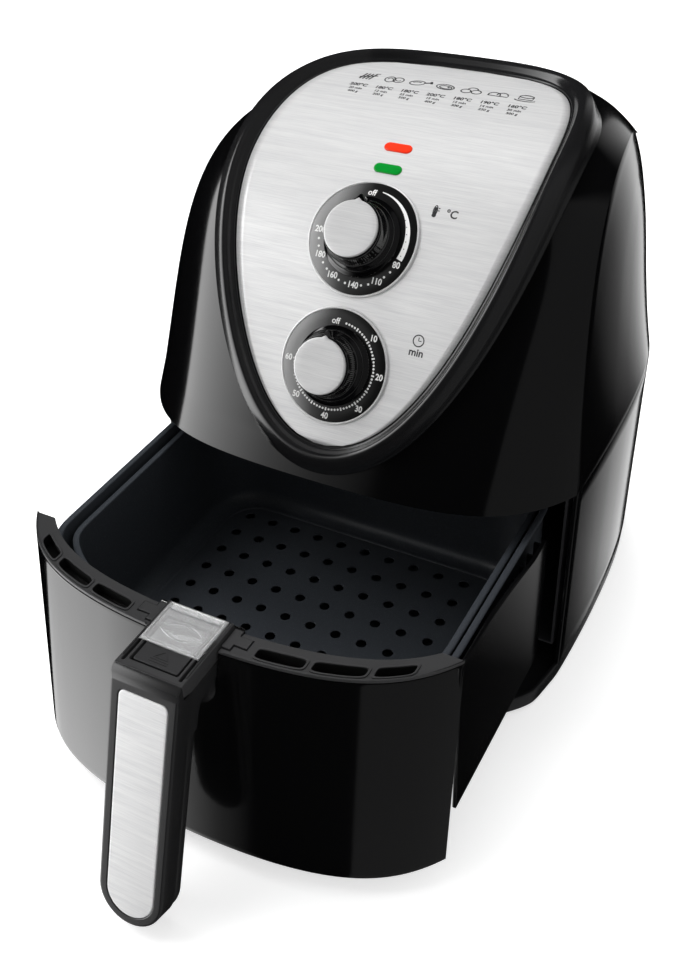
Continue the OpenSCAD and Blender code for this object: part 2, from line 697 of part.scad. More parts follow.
// ---------- controls behind the cover ----------
module control_body(u, r, h) {
    at_panel(u, -control_depth - h) difference() {
        union() {
            cylinder(h = h - 1.5, r = r);
            translate([-22, -8, h - 1.5]) cube([44, 16, 1.5]);
        }
        translate([0, 0, h - 13]) cylinder(h = 20, r = control_shaft_r + 0.04);
    }
}
thermostat_h = 22;
thermostat_r = 17;
timer_h = 16;
module thermostat() { color([0.88, 0.86, 0.8]) control_body(temp_u, thermostat_r, thermostat_h); }
module timer() { color([0.8, 0.78, 0.7]) control_body(timer_u, 19, timer_h); }
bell_r = 12;
bell_gap = 1.5;
// The bell's lower edge lies above the front edge of the heat shield's top
bell_rise = bell_r + bell_gap
    + ([chamber_y - shield_r - chamber_t, shield_top + chamber_t] - arch(timer_u)) * arch_dir(timer_u);
module timer_bell() {
    color([0.8, 0.7, 0.4]) at_panel(timer_u, -control_depth - timer_h - 0.1) translate([0, bell_rise, 0])
        rotate([180, 0, 0]) rotate_extrude() polygon([
            [0, 0], [2, 0], [2, 2], [bell_r - 2, 2],
            [bell_r, 0.2], [bell_r, 1.6], [bell_r - 1.5, 3.4], [0, 3.4]
        ]);
}
lever_z = ceiling_top + 6;
lever_t = 1.6;
module door_switch() {
    color([0.15, 0.15, 0.16]) difference() {
        union() {
            translate([lever_x - 9, lever_y + 9.2, ceiling_top + 0.1]) cube([18, 10, 14]);
            for (s = [-1, 1]) translate([lever_x + s * 7 - 2, lever_y - 3, ceiling_top + 0.1])
                cube([4, 13, 10]);
        }
        translate([lever_x, lever_y, lever_z]) rotate([0, 90, 0]) cylinder(h = 40, r = 1.55, center = true);
    }
}
lever_bottom = pan_top_z - 14;
module switch_lever() {
    color([0.85, 0.85, 0.82]) {
        translate([lever_x, lever_y, lever_z]) rotate([0, 90, 0]) cylinder(h = 17, r = 1.5, center = true);
        translate([lever_x - 3.2, lever_y - lever_t / 2, lever_bottom])
            cube([6.4, lever_t, lever_z - lever_bottom]);
    }
}
terminal_h = 14;
wire_r = 2.4;
module terminal_block() {
    color([0.9, 0.9, 0.88]) translate([-terminal_x - 7, 50, ceiling_top + 0.1]) cube([14, 40, terminal_h]);
}
terminal_x = body_half_w - 34.5;
// Harness from the terminal block up to the two controls
harness = [
    [-terminal_x, 70, ceiling_top + terminal_h + 0.2], [-terminal_x, 70, 215],
    [-100, 10, 250], [-60, -25, 270],
    on_sheet(-thermostat_r - wire_r - 0.3, temp_u, -control_depth - thermostat_h / 2)
];
module wire(p, r) {
    for (i = [0:len(p) - 2]) let (d = p[i + 1] - p[i], l = norm(d)) {
        translate(p[i]) rotate([0, acos(d[2] / l), atan2(d[1], d[0])]) cylinder(h = l, r = r, $fn = 12);
        translate(p[i + 1]) sphere(r = r, $fn = 12);
    }
}
module wiring() { color([0.5, 0.1, 0.1]) as_mesh() wire(harness, wire_r); }
module base_screws() {
    color(zinc) for (p = boss_xy) translate([p[0], p[1], 0]) {
        translate([0, 0, foot_h + 0.3]) cylinder(h = 1.8, r = 3.4, $fn = 32);
        translate([0, 0, foot_h + 1]) cylinder(h = 17, r = 1.5, $fn = 32);
    }
}

// ---------- drawer ----------
module out() { translate([0, -drawer_open, 0]) children(); }
front_rows = 9;
front_cols = 33;
panel_top_z = rim_z - 2.4;
// Middle y, fall and half width of the front at height z
function front_mid(z) = rim_front_y - front_flare * (rim_z - z) / (rim_z - front_bottom_z);
function front_half(z) = front_half_w + 2.5 * (rim_z - z) / (rim_z - front_bottom_z);
function front_grid(inset) = [for (i = [0:front_rows - 1])
    let (
        z = front_bottom_z + (panel_top_z - front_bottom_z) * i / (front_rows - 1),
        w = front_half(z) - inset
    )
    [for (j = [0:front_cols - 1]) let (x = w * sin(90 * (2 * j / (front_cols - 1) - 1)))
        [x, front_y(x, front_mid(z) + inset, front_sag, w), z]]];
notch_half = handle_w / 2 + 0.8;
notch_z = rim_z - 19;
cheek_t = 2.6;
cheek_front_y = rim_front_y + front_sag - 4;
// Screws through the cheeks into the pan's ears
ear_h = 7;
module at_ear_screws() {
    for (s = [-1, 1]) for (y = [35, 85])
        translate([s * front_half_w, cheek_front_y + y, pan_bottom_z + ear_h / 2])
            rotate([0, -90 * s, 0]) children();
}
module drawer_front() {
    color(gloss_black) out() as_mesh() {
        difference() {
            skin(front_grid(0), front_grid(shell_wall), front_rows, front_cols);
            translate([-notch_half, rim_front_y - 20, notch_z]) cube([2 * notch_half, 40, 60]);
        }
        difference() {
            for (s = [-1, 1])
                translate([s * (front_half_w - cheek_t / 2) - cheek_t / 2, cheek_front_y, pan_bottom_z])
                    cube([cheek_t, cheek_len, pan_top_z - pan_bottom_z]);
            at_ear_screws() {
                translate([0, 0, -1]) cylinder(h = 2.4, r = 3, $fn = 32);
                cylinder(h = 10, r = 1.6, $fn = 32);
            }
        }
    }
}
// Plan band of the rim, between two distances behind the front's edge
function rim_edge(inset, n) = [for (j = [0:n]) let (x = (front_half_w - 0.2) * sin(90 * (2 * j / n - 1)))
    [x, front_y(x, rim_front_y, front_sag, front_half_w) + inset]];
function reversed(p) = [for (i = [len(p) - 1:-1:0]) p[i]];
module rim_band(a, b) { polygon(concat(rim_edge(a, 40), reversed(rim_edge(b, 40)))); }
lug_half = 40;
lug_neck = 27;
// Outline of the bracket's lugs let into the rim, grown by a clearance
module lug_outline(grow) {
    translate([-lug_neck - grow, rim_front_y + 4 - grow])
        square([2 * lug_neck + 2 * grow, rim_w - 2 + 2 * grow]);
    translate([-lug_half - grow, rim_front_y + 8 - grow]) square([2 * lug_half + 2 * grow, 7 + 2 * grow]);
}
// Three slots each side, each following the rim's curve
slot_x = [[46, 68], [72, 98], [102, 119]];
module rim_slots() {
    for (s = [-1, 1]) for (q = slot_x)
        intersection() {
            rim_band(3.2, 9.5);
            translate([s > 0 ? q[0] : -q[1], -200]) square([q[1] - q[0], 200]);
        }
}
rim_t = 2.2;
module drawer_rim() {
    color(satin_black) out() {
        translate([0, 0, rim_z - rim_t]) linear_extrude(rim_t) difference() {
            rim_band(0, rim_w);
            rim_slots();
            lug_outline(0.4);
            translate([-notch_half, -200]) square([2 * notch_half, 200]);
        }
        translate([0, 0, pan_top_z + 0.4])
            linear_extrude(rim_z - rim_t - pan_top_z - 0.4 + eps) difference() {
            rim_band(rim_w - 2, rim_w);
            translate([-lug_half - 1, -200]) square([2 * lug_half + 2, 200]);
        }
    }
}
pan_half_w = basket_half_w + 4;
pan_rear_y = lever_y - lever_t / 2 - 0.35;
pan_corner = 42;
pan_front_gap = rim_w - 1.5;
pan_fall = front_sag - 12;
function arc_front(mid, fall, half_w, n) = [for (j = [0:n]) let (x = half_w * (2 * j / n - 1))
    [x, front_y(x, mid, fall, half_w)]];
function pan_plan(grow) = tub_plan(
    arc_front(rim_front_y + pan_front_gap - grow, pan_fall, pan_half_w + grow, 24),
    pan_half_w + grow, pan_rear_y - 3 + grow, pan_corner + grow);
module pan() {
    ear_w = front_half_w - cheek_t - pan_half_w - 0.2;
    color(coating) out() {
        difference() {
            translate([0, 0, pan_bottom_z]) linear_extrude(pan_top_z - pan_bottom_z) polygon(pan_plan(0));
            translate([0, 0, pan_bottom_z + sheet_t]) linear_extrude(pan_top_z) polygon(pan_plan(-sheet_t));
        }
        difference() {
            translate([0, 0, pan_top_z - 1.5]) linear_extrude(1.5) intersection() {
                polygon(pan_plan(3));
                translate([-pan_half_w - 10, cheek_front_y + 8]) square([2 * pan_half_w + 20, 300]);
            }
            translate([0, 0, pan_top_z - 3]) linear_extrude(6) polygon(pan_plan(-sheet_t));
        }
        difference() {
            for (s = [-1, 1])
                translate([s * (pan_half_w + ear_w / 2 - 0.1), cheek_front_y + 60, pan_bottom_z + ear_h / 2])
                cube([ear_w + 0.2, 70, ear_h], center = true);
            at_ear_screws() cylinder(h = cheek_t + 7, r = 1.35);
        }
    }
}
// Inner face of the drawer's front at a height
function front_back_y(z) = front_mid(z) + shell_wall;
strike_z = notch_z - 1;
module latch_strike() {
    color(steel) out() translate([-8, 0, 0]) rotate([90, 0, 90]) linear_extrude(16) polygon([
        [front_back_y(strike_z - 11) + 0.15, strike_z - 11], [front_back_y(strike_z) + 0.15, strike_z],
        [front_back_y(strike_z) + 5, strike_z], [front_back_y(strike_z) + 5, strike_z - 1.4],
        [front_back_y(strike_z) + 1.6, strike_z - 1.4], [front_back_y(strike_z - 11) + 1.6, strike_z - 11]
    ]);
}
module drawer_screws() {
    color(zinc) out() at_ear_screws() {
        translate([0, 0, 0.2]) cylinder(h = 1.1, r = 2.6, $fn = 32);
        translate([0, 0, 1.2]) cylinder(h = 7, r = 1.3, $fn = 32);
    }
}

// ---------- basket ----------
basket_corner = 38;
basket_front_y = rim_front_y + pan_front_gap + 5;
basket_flange = 3;
function basket_plan(grow) = tub_plan(
    arc_front(basket_front_y - grow, pan_fall, basket_half_w + grow, 24),
    basket_half_w + grow, basket_rear_y + grow, basket_corner + grow);
module basket() {
    foot_z = pan_bottom_z + sheet_t + 0.35;
    color(coating) out() {
        difference() {
            translate([0, 0, basket_floor_z]) linear_extrude(basket_top_z - basket_floor_z)
                polygon(basket_plan(-basket_flange));
            translate([0, 0, basket_floor_z + sheet_t]) linear_extrude(basket_top_z)
                polygon(basket_plan(-basket_flange - sheet_t));
            for (i = [-5:5]) for (j = [-3:4])
                translate([i * 19, j * 20 - 4, basket_floor_z - 1]) cylinder(h = 4, r = 3.5, $fn = 24);
        }
        difference() {
            translate([0, 0, basket_top_z - 2]) linear_extrude(2) polygon(basket_plan(0));
            translate([0, 0, basket_top_z - 3]) linear_extrude(6)
                polygon(basket_plan(-basket_flange - sheet_t));
        }
        for (s = [-1, 1]) for (y = [-60, 60]) translate([s * 85.5 - 4, y - 4, foot_z])
            cube([8, 8, basket_floor_z - foot_z + eps]);
    }
}

// ---------- handle ----------
arm_top_z = rim_z + 3.2;
arm_front_y = rim_front_y - 32;
arm_rear_y = basket_front_y - 1.6;
grip_top_y = arm_front_y - 3;
// Grip frame: origin at the top of its face, +Y into the grip, -Z down along it
module grip_frame() {
    translate([0, grip_top_y, arm_top_z - 4]) rotate([-grip_lean, 0, 0]) children();
}
// Face of the grip: a strip with a round lower end
module grip_face(w, top, bottom) {
    r = w / 2;
    translate([-r, bottom + r]) square([w, top - bottom - r]);
    translate([0, bottom + r]) circle(r = r);
}
module grip_slab(w, top, bottom, d0, d1) {
    grip_frame() translate([0, d1, 0]) rotate([90, 0, 0]) linear_extrude(d1 - d0) grip_face(w, top, bottom);
}
grip_split = grip_d * 0.62;
well_y = [arm_front_y + 7, arm_front_y + 39];
well_half = 14;
well_z = arm_top_z - 10 - button_travel;
inlay_w = 31;
rail_z = arm_top_z - 2.6;
rail_h = 1.4;
rail_depth = 1.2;
hook_y = front_back_y(strike_z) + 5.4;
hook_half = 5;
hook_travel = 2.5;
module at_grip_screws() {
    for (z = [-40, -110]) grip_frame() translate([0, 0, z]) rotate([-90, 0, 0]) children();
}
module handle_shell() {
    color(gloss_black) out() difference() {
        union() {
            translate([-handle_w / 2, arm_front_y, pan_top_z + 0.6])
                cube([handle_w, arm_rear_y - arm_front_y, arm_top_z - pan_top_z - 0.6]);
            translate([-handle_w / 2, arm_front_y, notch_z + 1])
                cube([handle_w, rim_front_y - arm_front_y, 20]);
            translate([-handle_w / 2, 0, 0]) rotate([90, 0, 90]) linear_extrude(handle_w) polygon([
                [arm_front_y - 3, arm_top_z - 4], [arm_front_y + 1, arm_top_z],
                [arm_front_y + 1, notch_z + 1], [arm_front_y - 9, notch_z + 1]
            ]);
            grip_slab(handle_w, -4, -grip_len, 1.6, grip_split);
            grip_slab(handle_w - 4.5, -4, -grip_len + 2.2, 0, 1.61);
        }
        translate([-well_half - 0.4, well_y[0] - 0.4, well_z])
            cube([2 * well_half + 0.8, well_y[1] - well_y[0] + 0.8, 40]);
        grip_slab(inlay_w + 0.6, -7.7, -grip_len + 5.3, -2, 1.3);
        for (s = [-1, 1]) translate([s * handle_w / 2 - rail_depth, arm_front_y + 5, rail_z])
            cube([2 * rail_depth, arm_rear_y - arm_front_y, rail_h]);
        at_grip_screws() translate([0, 0, grip_split - 8]) cylinder(h = 9, r = 1.55);
        translate([-hook_half - 0.5, hook_y + 1.4, notch_z - 6])
            cube([2 * hook_half + 1, 3 + hook_travel + 0.6, well_z + 5 - notch_z + 6]);
    }
}
module handle_back() {
    color(gloss_black) out() difference() {
        grip_slab(handle_w - 1.2, -28, -grip_len + 0.8, grip_split + 0.3, grip_d);
        at_grip_screws() {
            translate([0, 0, grip_d - 2.6]) cylinder(h = 4, r = 3.3);
            cylinder(h = grip_d, r = 1.8);
        }
    }
}
module handle_inlay() {
    color(steel) out() grip_slab(inlay_w, -8, -grip_len + 5.6, 0.1, 1.25);
}
module handle_screws() {
    color(zinc) out() at_grip_screws() {
        translate([0, 0, grip_d - 2.4]) cylinder(h = 1.6, r = 2.9, $fn = 32);
        translate([0, 0, grip_split - 6]) cylinder(h = grip_d - grip_split + 4, r = 1.45, $fn = 32);
    }
}
bracket_t = 1.4;
bracket_y = arm_rear_y + 0.1;
module basket_bracket() {
    color(steel) out() {
        translate([0, 0, rim_z - rim_t + 0.1]) linear_extrude(rim_t - 0.1) difference() {
            union() {
                lug_outline(0);
                translate([-lug_neck, rim_front_y + 8])
                    square([2 * lug_neck, bracket_y + bracket_t - rim_front_y - 8]);
            }
            translate([-handle_w / 2 - 0.15, -300]) square([handle_w + 0.3, 300 + bracket_y]);
        }
        translate([-lug_neck, bracket_y, rim_z - 14]) cube([2 * lug_neck, bracket_t, 14]);
        translate([-handle_w / 2, bracket_y, basket_floor_z + 30])
            cube([handle_w, bracket_t, rim_z - basket_floor_z - 44.5 + 5]);
        for (s = [-1, 1]) for (z = [40, 70])
            translate([s * 12, bracket_y + bracket_t - eps, basket_floor_z + z]) rotate([-90, 0, 0])
                cylinder(
                    h = basket_front_y + basket_flange - bracket_y - bracket_t - 0.05, r = 3.5, $fn = 32
                );
    }
}

button_top_z = arm_top_z - 0.5;
button_h = 5;
button_bottom_z = button_top_z - button_h;
module release_button() {
    color(satin_black) out() {
        translate([-well_half, well_y[0], button_bottom_z])
            cube([2 * well_half, well_y[1] - well_y[0], button_h]);
        for (y = [4, 8, 12]) translate([-8, well_y[0] + y, button_top_z - eps]) cube([16, 1.2, 0.4]);
    }
}
module button_spring() {
    color(zinc) out() translate([0, well_y[0] + 14, well_z]) difference() {
        cylinder(h = button_bottom_z - well_z, r = 4, $fn = 32);
        translate([0, 0, -1]) cylinder(h = 20, r = 3, $fn = 32);
    }
}
guard_half = handle_w / 2 + 4.5;
guard_len = 27;
guard_y = arm_rear_y - guard_len + 2;
guard_top_z = split_z - 0.4;
module button_guard() {
    color([0.8, 0.85, 0.9, 0.5]) out() {
        difference() {
            translate([-guard_half, guard_y, rim_z + 0.5])
                cube([2 * guard_half, guard_len, guard_top_z - rim_z - 0.5]);
            translate([-handle_w / 2 - 0.4, guard_y - 1, rim_z])
                cube([handle_w + 0.8, guard_len + 2, arm_top_z + 0.3 - rim_z]);
            translate([0, guard_y + guard_len / 2, guard_top_z + 17.4]) scale([1, 0.6, 1]) sphere(r = 18.1);
        }
        for (s = [-1, 1]) translate([s * (handle_w / 2 + 0.2) - 0.6, guard_y + 1.6, rail_z + 0.35])
            cube([1.2, guard_len - 4.6, rail_h - 0.7]);
    }
}
module latch_hook() {
    color(zinc) out() {
        translate([-hook_half, hook_y + 2, strike_z - 3.6])
            cube([2 * hook_half, 2, well_z + 4 - strike_z + 3.6]);
        translate([-hook_half, hook_y, strike_z - 3.6]) cube([2 * hook_half, 3, 1.6]);
    }
}

front_cover();
panel_ring();
control_panel();
temp_dial();
timer_dial();
power_lens();
heat_lens();
pilot_lamps();
upper_housing();
lower_housing();
base_tray();
rubber_feet();
air_outlet();
cord_gland();
bay_liner();
bay_runners();
bay_ceiling();
heat_chamber();
heat_shield();
heating_element();
element_clips();
element_guard();
motor();
motor_bracket();
motor_screws();
chamber_screws();
thermostat();
timer();
timer_bell();
door_switch();
thermal_fuse();
terminal_block();
wiring();
base_screws();
motor_shaft();
hot_air_fan();
cooling_fan();
fan_nuts();
temp_knob();
temp_knob_cap();
thermostat_shaft();
timer_knob();
timer_knob_cap();
timer_shaft();
drawer_front();
drawer_rim();
pan();
latch_strike();
drawer_screws();
basket();
basket_bracket();
handle_shell();
handle_back();
handle_inlay();
handle_screws();
button_spring();
release_button();
button_guard();
latch_hook();
switch_lever();
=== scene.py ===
import math

import bmesh
import bpy
import numpy as np
from mathutils import Matrix, Vector
from mathutils.geometry import tessellate_polygon


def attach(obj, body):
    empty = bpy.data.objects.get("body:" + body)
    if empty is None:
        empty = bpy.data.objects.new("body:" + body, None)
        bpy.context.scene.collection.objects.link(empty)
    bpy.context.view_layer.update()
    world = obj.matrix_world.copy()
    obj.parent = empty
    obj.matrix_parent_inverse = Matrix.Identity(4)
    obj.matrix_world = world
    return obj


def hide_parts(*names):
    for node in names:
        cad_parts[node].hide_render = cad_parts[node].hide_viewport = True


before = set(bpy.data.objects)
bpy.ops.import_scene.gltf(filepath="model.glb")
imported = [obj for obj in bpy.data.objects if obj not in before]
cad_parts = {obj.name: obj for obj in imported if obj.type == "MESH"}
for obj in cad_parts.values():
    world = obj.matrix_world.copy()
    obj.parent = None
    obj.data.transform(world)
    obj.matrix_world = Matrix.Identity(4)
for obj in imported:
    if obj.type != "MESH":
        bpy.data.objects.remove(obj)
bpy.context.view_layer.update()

# --- Camera -------------------------------------------------------------------
# Stands to the front right of the fryer and looks down into the open drawer.

CAMERA_AT = Vector((0.2866, -0.5980, 0.5918))
CAMERA_AZIMUTH = math.radians(29.56)
CAMERA_ELEVATION = math.radians(38.34)
CAMERA_ROLL = math.radians(-2.73)
CAMERA_LENS = 42.22
CAMERA_SENSOR = 36


def camera_turn(azimuth, elevation, roll):
    """Rotation whose columns are the camera's right, up and backward directions."""
    back = Vector((
        math.sin(azimuth) * math.cos(elevation),
        -math.cos(azimuth) * math.cos(elevation),
        math.sin(elevation),
    ))
    level = Vector((math.cos(azimuth), math.sin(azimuth), 0))
    upright = back.cross(level)
    right = level * math.cos(roll) + upright * math.sin(roll)
    return Matrix((right, back.cross(right), back)).transposed()


camera = bpy.data.objects.new("camera", bpy.data.cameras.new("camera"))
bpy.context.scene.collection.objects.link(camera)
turn = camera_turn(CAMERA_AZIMUTH, CAMERA_ELEVATION, CAMERA_ROLL)
camera.matrix_world = Matrix.Translation(CAMERA_AT) @ turn.to_4x4()
camera.data.lens = CAMERA_LENS
camera.data.sensor_width = CAMERA_SENSOR
camera.data.clip_start = 0.01
bpy.context.scene.camera = camera
bpy.context.scene.view_settings.view_transform = "Standard"

# --- Floor, backdrop and lamps ------------------------------------------------
# A white studio: a tall soft box stands at the left, a dim card at the right and a pale
# sweep behind. Gloss surfaces see only these; the eye sees white paper all round.

WHITE = (1, 1, 1, 1)
FLOOR_HALF = 6
PAPER_GLOW = 0.16
PAPER_SEEN_GLOW = 0.42
DAYLIGHT = 0.56
BOX_STRENGTH = 6.0
CARD_STRENGTH = 0.16
LAMPS = (("key_box", (-1.15, -0.65, 2.1), 19), ("top_box", (-0.5, 0.6, 2.1), 34))
LAMP_SIZE = 1.2
LAMPS_AIM = (0, 0, 0.2)


def set_inputs(tree, node, inputs):
    """Gives inputs of a node their values, or links where the value is a node's output. A
    space in an input's name is written as an underscore."""
    for name, value in inputs.items():
        socket = node.inputs[name.replace("_", " ")]
        if isinstance(value, bpy.types.NodeSocket):
            tree.links.new(value, socket)
        else:
            socket.default_value = value


def add(tree, kind, **inputs):
    """Adds a shader node of a kind with its inputs set."""
    node = tree.nodes.new("ShaderNode" + kind)
    set_inputs(tree, node, inputs)
    return node


def set_surface(tree, **inputs):
    """Sets inputs of a material's Principled shader."""
    set_inputs(tree, tree.nodes["Principled BSDF"], inputs)


def new_material(name, **inputs):
    """A new material with inputs of its Principled shader set, and its node tree."""
    material = bpy.data.materials.new(name)
    material.use_nodes = True
    set_surface(material.node_tree, **inputs)
    return material, material.node_tree


def maths(tree, operation, *values):
    """A Math node on values that are numbers or other nodes' outputs; returns its output."""
    node = add(tree, "Math")
    node.operation = operation
    for socket, value in zip(node.inputs, values):
        if isinstance(value, bpy.types.NodeSocket):
            tree.links.new(value, socket)
        else:
            socket.default_value = value
    return node.outputs[0]


def product(tree, first, *others):
    """All the values multiplied together."""
    for other in others:
        first = maths(tree, "MULTIPLY", first, other)
    return first


def steps(tree, value, low, high, *stops):
    """Runs a value through a grey ramp whose stops (value, level) lie between low and high."""
    share = add(tree, "MapRange", Value=value, From_Min=low, From_Max=high)
    ramp = add(tree, "ValToRGB", Fac=share.outputs["Result"])
    colours = ramp.color_ramp.elements
    shares = [(place - low) / (high - low) for place, level in stops]
    colours[0].position, colours[1].position = shares[0], shares[-1]
    for place in shares[1:-1]:
        colours.new(place)
    for stop, (place, level) in zip(colours, stops):
        stop.color = (level, level, level, 1)
    return ramp.outputs["Color"]


def lamp(name, at, watts):
    """A square lamp at a place, turned to the fryer and left out of all reflections."""
    data = bpy.data.lights.new(name, "AREA")
    data.shape = "RECTANGLE"
    data.size = data.size_y = LAMP_SIZE
    data.energy = watts
    item = bpy.data.objects.new(name, data)
    bpy.context.scene.collection.objects.link(item)
    away = Vector(at) - Vector(LAMPS_AIM)
    item.matrix_world = Matrix.Translation(at) @ away.to_track_quat("Z", "Y").to_matrix().to_4x4()
    item.visible_glossy = False


floor_mesh = bpy.data.meshes.new("floor")
floor_corners = [(x * FLOOR_HALF, y * FLOOR_HALF, 0) for x, y in ((-1, -1), (1, -1), (1, 1), (-1, 1))]
floor_mesh.from_pydata(floor_corners, [], [(0, 1, 2, 3)])
floor = bpy.data.objects.new("floor", floor_mesh)
bpy.context.scene.collection.objects.link(floor)
paper, tree = new_material("white_paper", Base_Color=(0.86, 0.86, 0.86, 1), Roughness=0.9,
                           Specular_IOR_Level=0, Emission_Color=WHITE)
ray = add(tree, "LightPath")
seen_glow = maths(tree, "MULTIPLY", ray.outputs["Is Camera Ray"], PAPER_SEEN_GLOW)
set_surface(tree, Emission_Strength=maths(tree, "ADD", seen_glow, PAPER_GLOW))
hidden_from_gloss = add(tree, "MixShader", Fac=ray.outputs["Is Glossy Ray"])
tree.links.new(tree.nodes["Principled BSDF"].outputs["BSDF"], hidden_from_gloss.inputs[1])
tree.links.new(add(tree, "BsdfTransparent").outputs["BSDF"], hidden_from_gloss.inputs[2])
tree.links.new(hidden_from_gloss.outputs["Shader"], tree.nodes["Material Output"].inputs["Surface"])
floor.data.materials.append(paper)

world = bpy.data.worlds.new("studio")
bpy.context.scene.world = world
world.use_nodes = True
tree = world.node_tree
axes = add(tree, "SeparateXYZ", Vector=add(tree, "TexCoord").outputs["Generated"])
to_front = maths(tree, "MULTIPLY", axes.outputs["Y"], -1)
bearing = maths(tree, "DEGREES", maths(tree, "ARCTAN2", axes.outputs["X"], to_front))
height = maths(tree, "DEGREES", maths(tree, "ARCSINE", axes.outputs["Z"]))
# Soft box at the left: brightest at its far edge, which bows away above and below
box_high = steps(tree, bearing, -110, -10, (-110, 1.0), (-70, 0.95), (-64, 0.87), (-52, 0.67),
                 (-45, 0.52), (-38, 0.35), (-32, 0.17), (-26, 0.06), (-18, 0.0))
box_low = steps(tree, bearing, -110, -10, (-110, 0.2), (-93, 0.25), (-80, 0.34), (-64, 0.48),
                (-52, 0.56), (-45, 0.47), (-38, 0.33), (-32, 0.12), (-26, 0.04), (-18, 0.0))
upper_share = steps(tree, height, -60, 60, (-30, 0.0), (-10, 1.0))
soft_box = add(tree, "Mix", Factor=upper_share, A=box_low, B=box_high)
bow = product(tree, height, height, 0.021)
far_edge = steps(tree, maths(tree, "ADD", bearing, bow), -80, -60, (-70.3, 0.0), (-69.7, 1.0))
box_rows = steps(tree, height, -90, 90, (-58, 0.0), (-48, 1.0), (38, 1.0), (42, 0.0))
box_light = product(tree, soft_box.outputs["Result"], BOX_STRENGTH, far_edge, box_rows)
# Dim card at the right, whose near edge leans with the height
lean = product(tree, maths(tree, "MINIMUM", height, 10), 0.2)
card = steps(tree, maths(tree, "SUBTRACT", bearing, lean), 0, 180,
             (24.7, 0.0), (25.3, CARD_STRENGTH), (125, CARD_STRENGTH), (145, 0.0))
# Pale sweep behind, to the right of the middle
behind = maths(tree, "ABSOLUTE", bearing)
right_side = maths(tree, "GREATER_THAN", axes.outputs["X"], 0.02)
sweep = steps(tree, behind, 140, 180, (156, 0.0), (162, 0.17), (169, 0.65), (175, 1.1))
sweep_top = steps(tree, height, -90, 90, (0, 1.0), (35, 0.0))
sweep_low = steps(tree, height, -90, 90, (-47, 0.04), (-41, 1.0))
sweep_light = product(tree, sweep, right_side, sweep_top, sweep_low)
gloss_light = maths(tree, "ADD", maths(tree, "ADD", box_light, card), sweep_light)

ray = add(tree, "LightPath")
plain = maths(tree, "MAXIMUM", ray.outputs["Is Camera Ray"], ray.outputs["Is Transmission Ray"])
soft_level = maths(tree, "ADD", maths(tree, "MULTIPLY", plain, 1 - DAYLIGHT), DAYLIGHT)
level = add(tree, "Mix", Factor=ray.outputs["Is Glossy Ray"], A=soft_level, B=gloss_light)
set_inputs(tree, tree.nodes["Background"], {"Color": WHITE, "Strength": level.outputs["Result"]})
for name, at, watts in LAMPS:
    lamp(name, at, watts)

# --- Front cover --------------------------------------------------------------
# One gloss black moulding that arches up from the drawer's opening and back over the
# top. It clips over the rear housing along a fine joint at its sides and its back.

MM = 0.001
BODY_HALF = 149.5
SPLIT_Z = 163.5
COVER_FRONT_Y = -129.0
COVER_LEAN = math.radians(29.4)
COVER_INSIDE = (0, 20, 200)
COVER_SINK = 1.3
SHELL_WALL = 3.0
HEM_WIDTH = 3.0
MOULDING_EDGE = 0.7
ARCH_TOP = np.array([108.3, 343.5])
ARCH_LOW = np.array([COVER_FRONT_Y, SPLIT_Z])
ARCH_LOW_PULL = ARCH_LOW + 152.7 * np.array([math.sin(COVER_LEAN), math.cos(COVER_LEAN)])
ARCH_HIGH_PULL = ARCH_TOP - [154.4, 0]


def bezier(a, b, c, d, u):
    """Cubic Bezier curve of u from 0 to 1 through numbers or points a, b, c, d."""
    a, b, c, d, u = (np.asarray(k, float) for k in (a, b, c, d, u))
    if a.ndim:
        u = u[..., None]
    return a * (1 - u) ** 3 + 3 * b * u * (1 - u) ** 2 + 3 * c * u**2 * (1 - u) + d * u**3


def left_of(run):
    """Unit vectors a quarter turn to the left of flat vectors."""
    run = run / np.linalg.norm(run, axis=-1, keepdims=True)
    return np.stack([-run[..., 1], run[..., 0]], -1)


def arch(u):
    """Middle line of the cover as (y, z): a cubic Bezier from its bottom edge to its top."""
    return bezier(ARCH_LOW, ARCH_LOW_PULL, ARCH_HIGH_PULL, ARCH_TOP, u)


def arch_out(u):
    """Unit outward normal of the arch as (y, z): its direction turned a quarter left."""
    return left_of(arch(u + 1e-3) - arch(u - 1e-3))


def cover_half(u):
    """Half width of the cover: a cubic Bezier of 149.5, 132, 134.5 and 109.5 along the arch."""
    return bezier(BODY_HALF, BODY_HALF - 17.5, BODY_HALF - 15, BODY_HALF - 40, u)


def cover_sink(u):
    """Depth of the cover under the steel panel: 1.3 mm, but for the bottom edge."""
    return COVER_SINK * np.minimum(1, u * 20)[..., None]


def cover_fall(x, u):
    """Point (x, y, z) of the cover at x across and u along. It falls from the arch by
    f = fall(u) (0.15 t^2 + 0.5 t^4 + 0.35 t^8), t = x / half width, in a direction that
    turns from straight back at the bottom to straight down at the top."""
    x, u = np.broadcast_arrays(np.asarray(x, float), np.asarray(u, float))
    t = x / cover_half(u)
    fall = bezier(54.0, 15.0, 6.5, 31.5, u) * (0.15 * t**2 + 0.5 * t**4 + 0.35 * t**8)
    turn = np.radians(88 * (1 - np.clip(1 - u, 0, 1) ** 0.4))
    line = arch(u)
    return np.stack([x, line[..., 0] + fall * np.cos(turn), line[..., 1] - fall * np.sin(turn)], -1)


def cover(t, u):
    """Moulded surface at a share t of the half width, sunk along the arch's normal."""
    t, u = np.broadcast_arrays(np.asarray(t, float), np.asarray(u, float))
    points = cover_fall(t * cover_half(u), u)
    points[..., 1:] -= cover_sink(u) * arch_out(u)
    return points


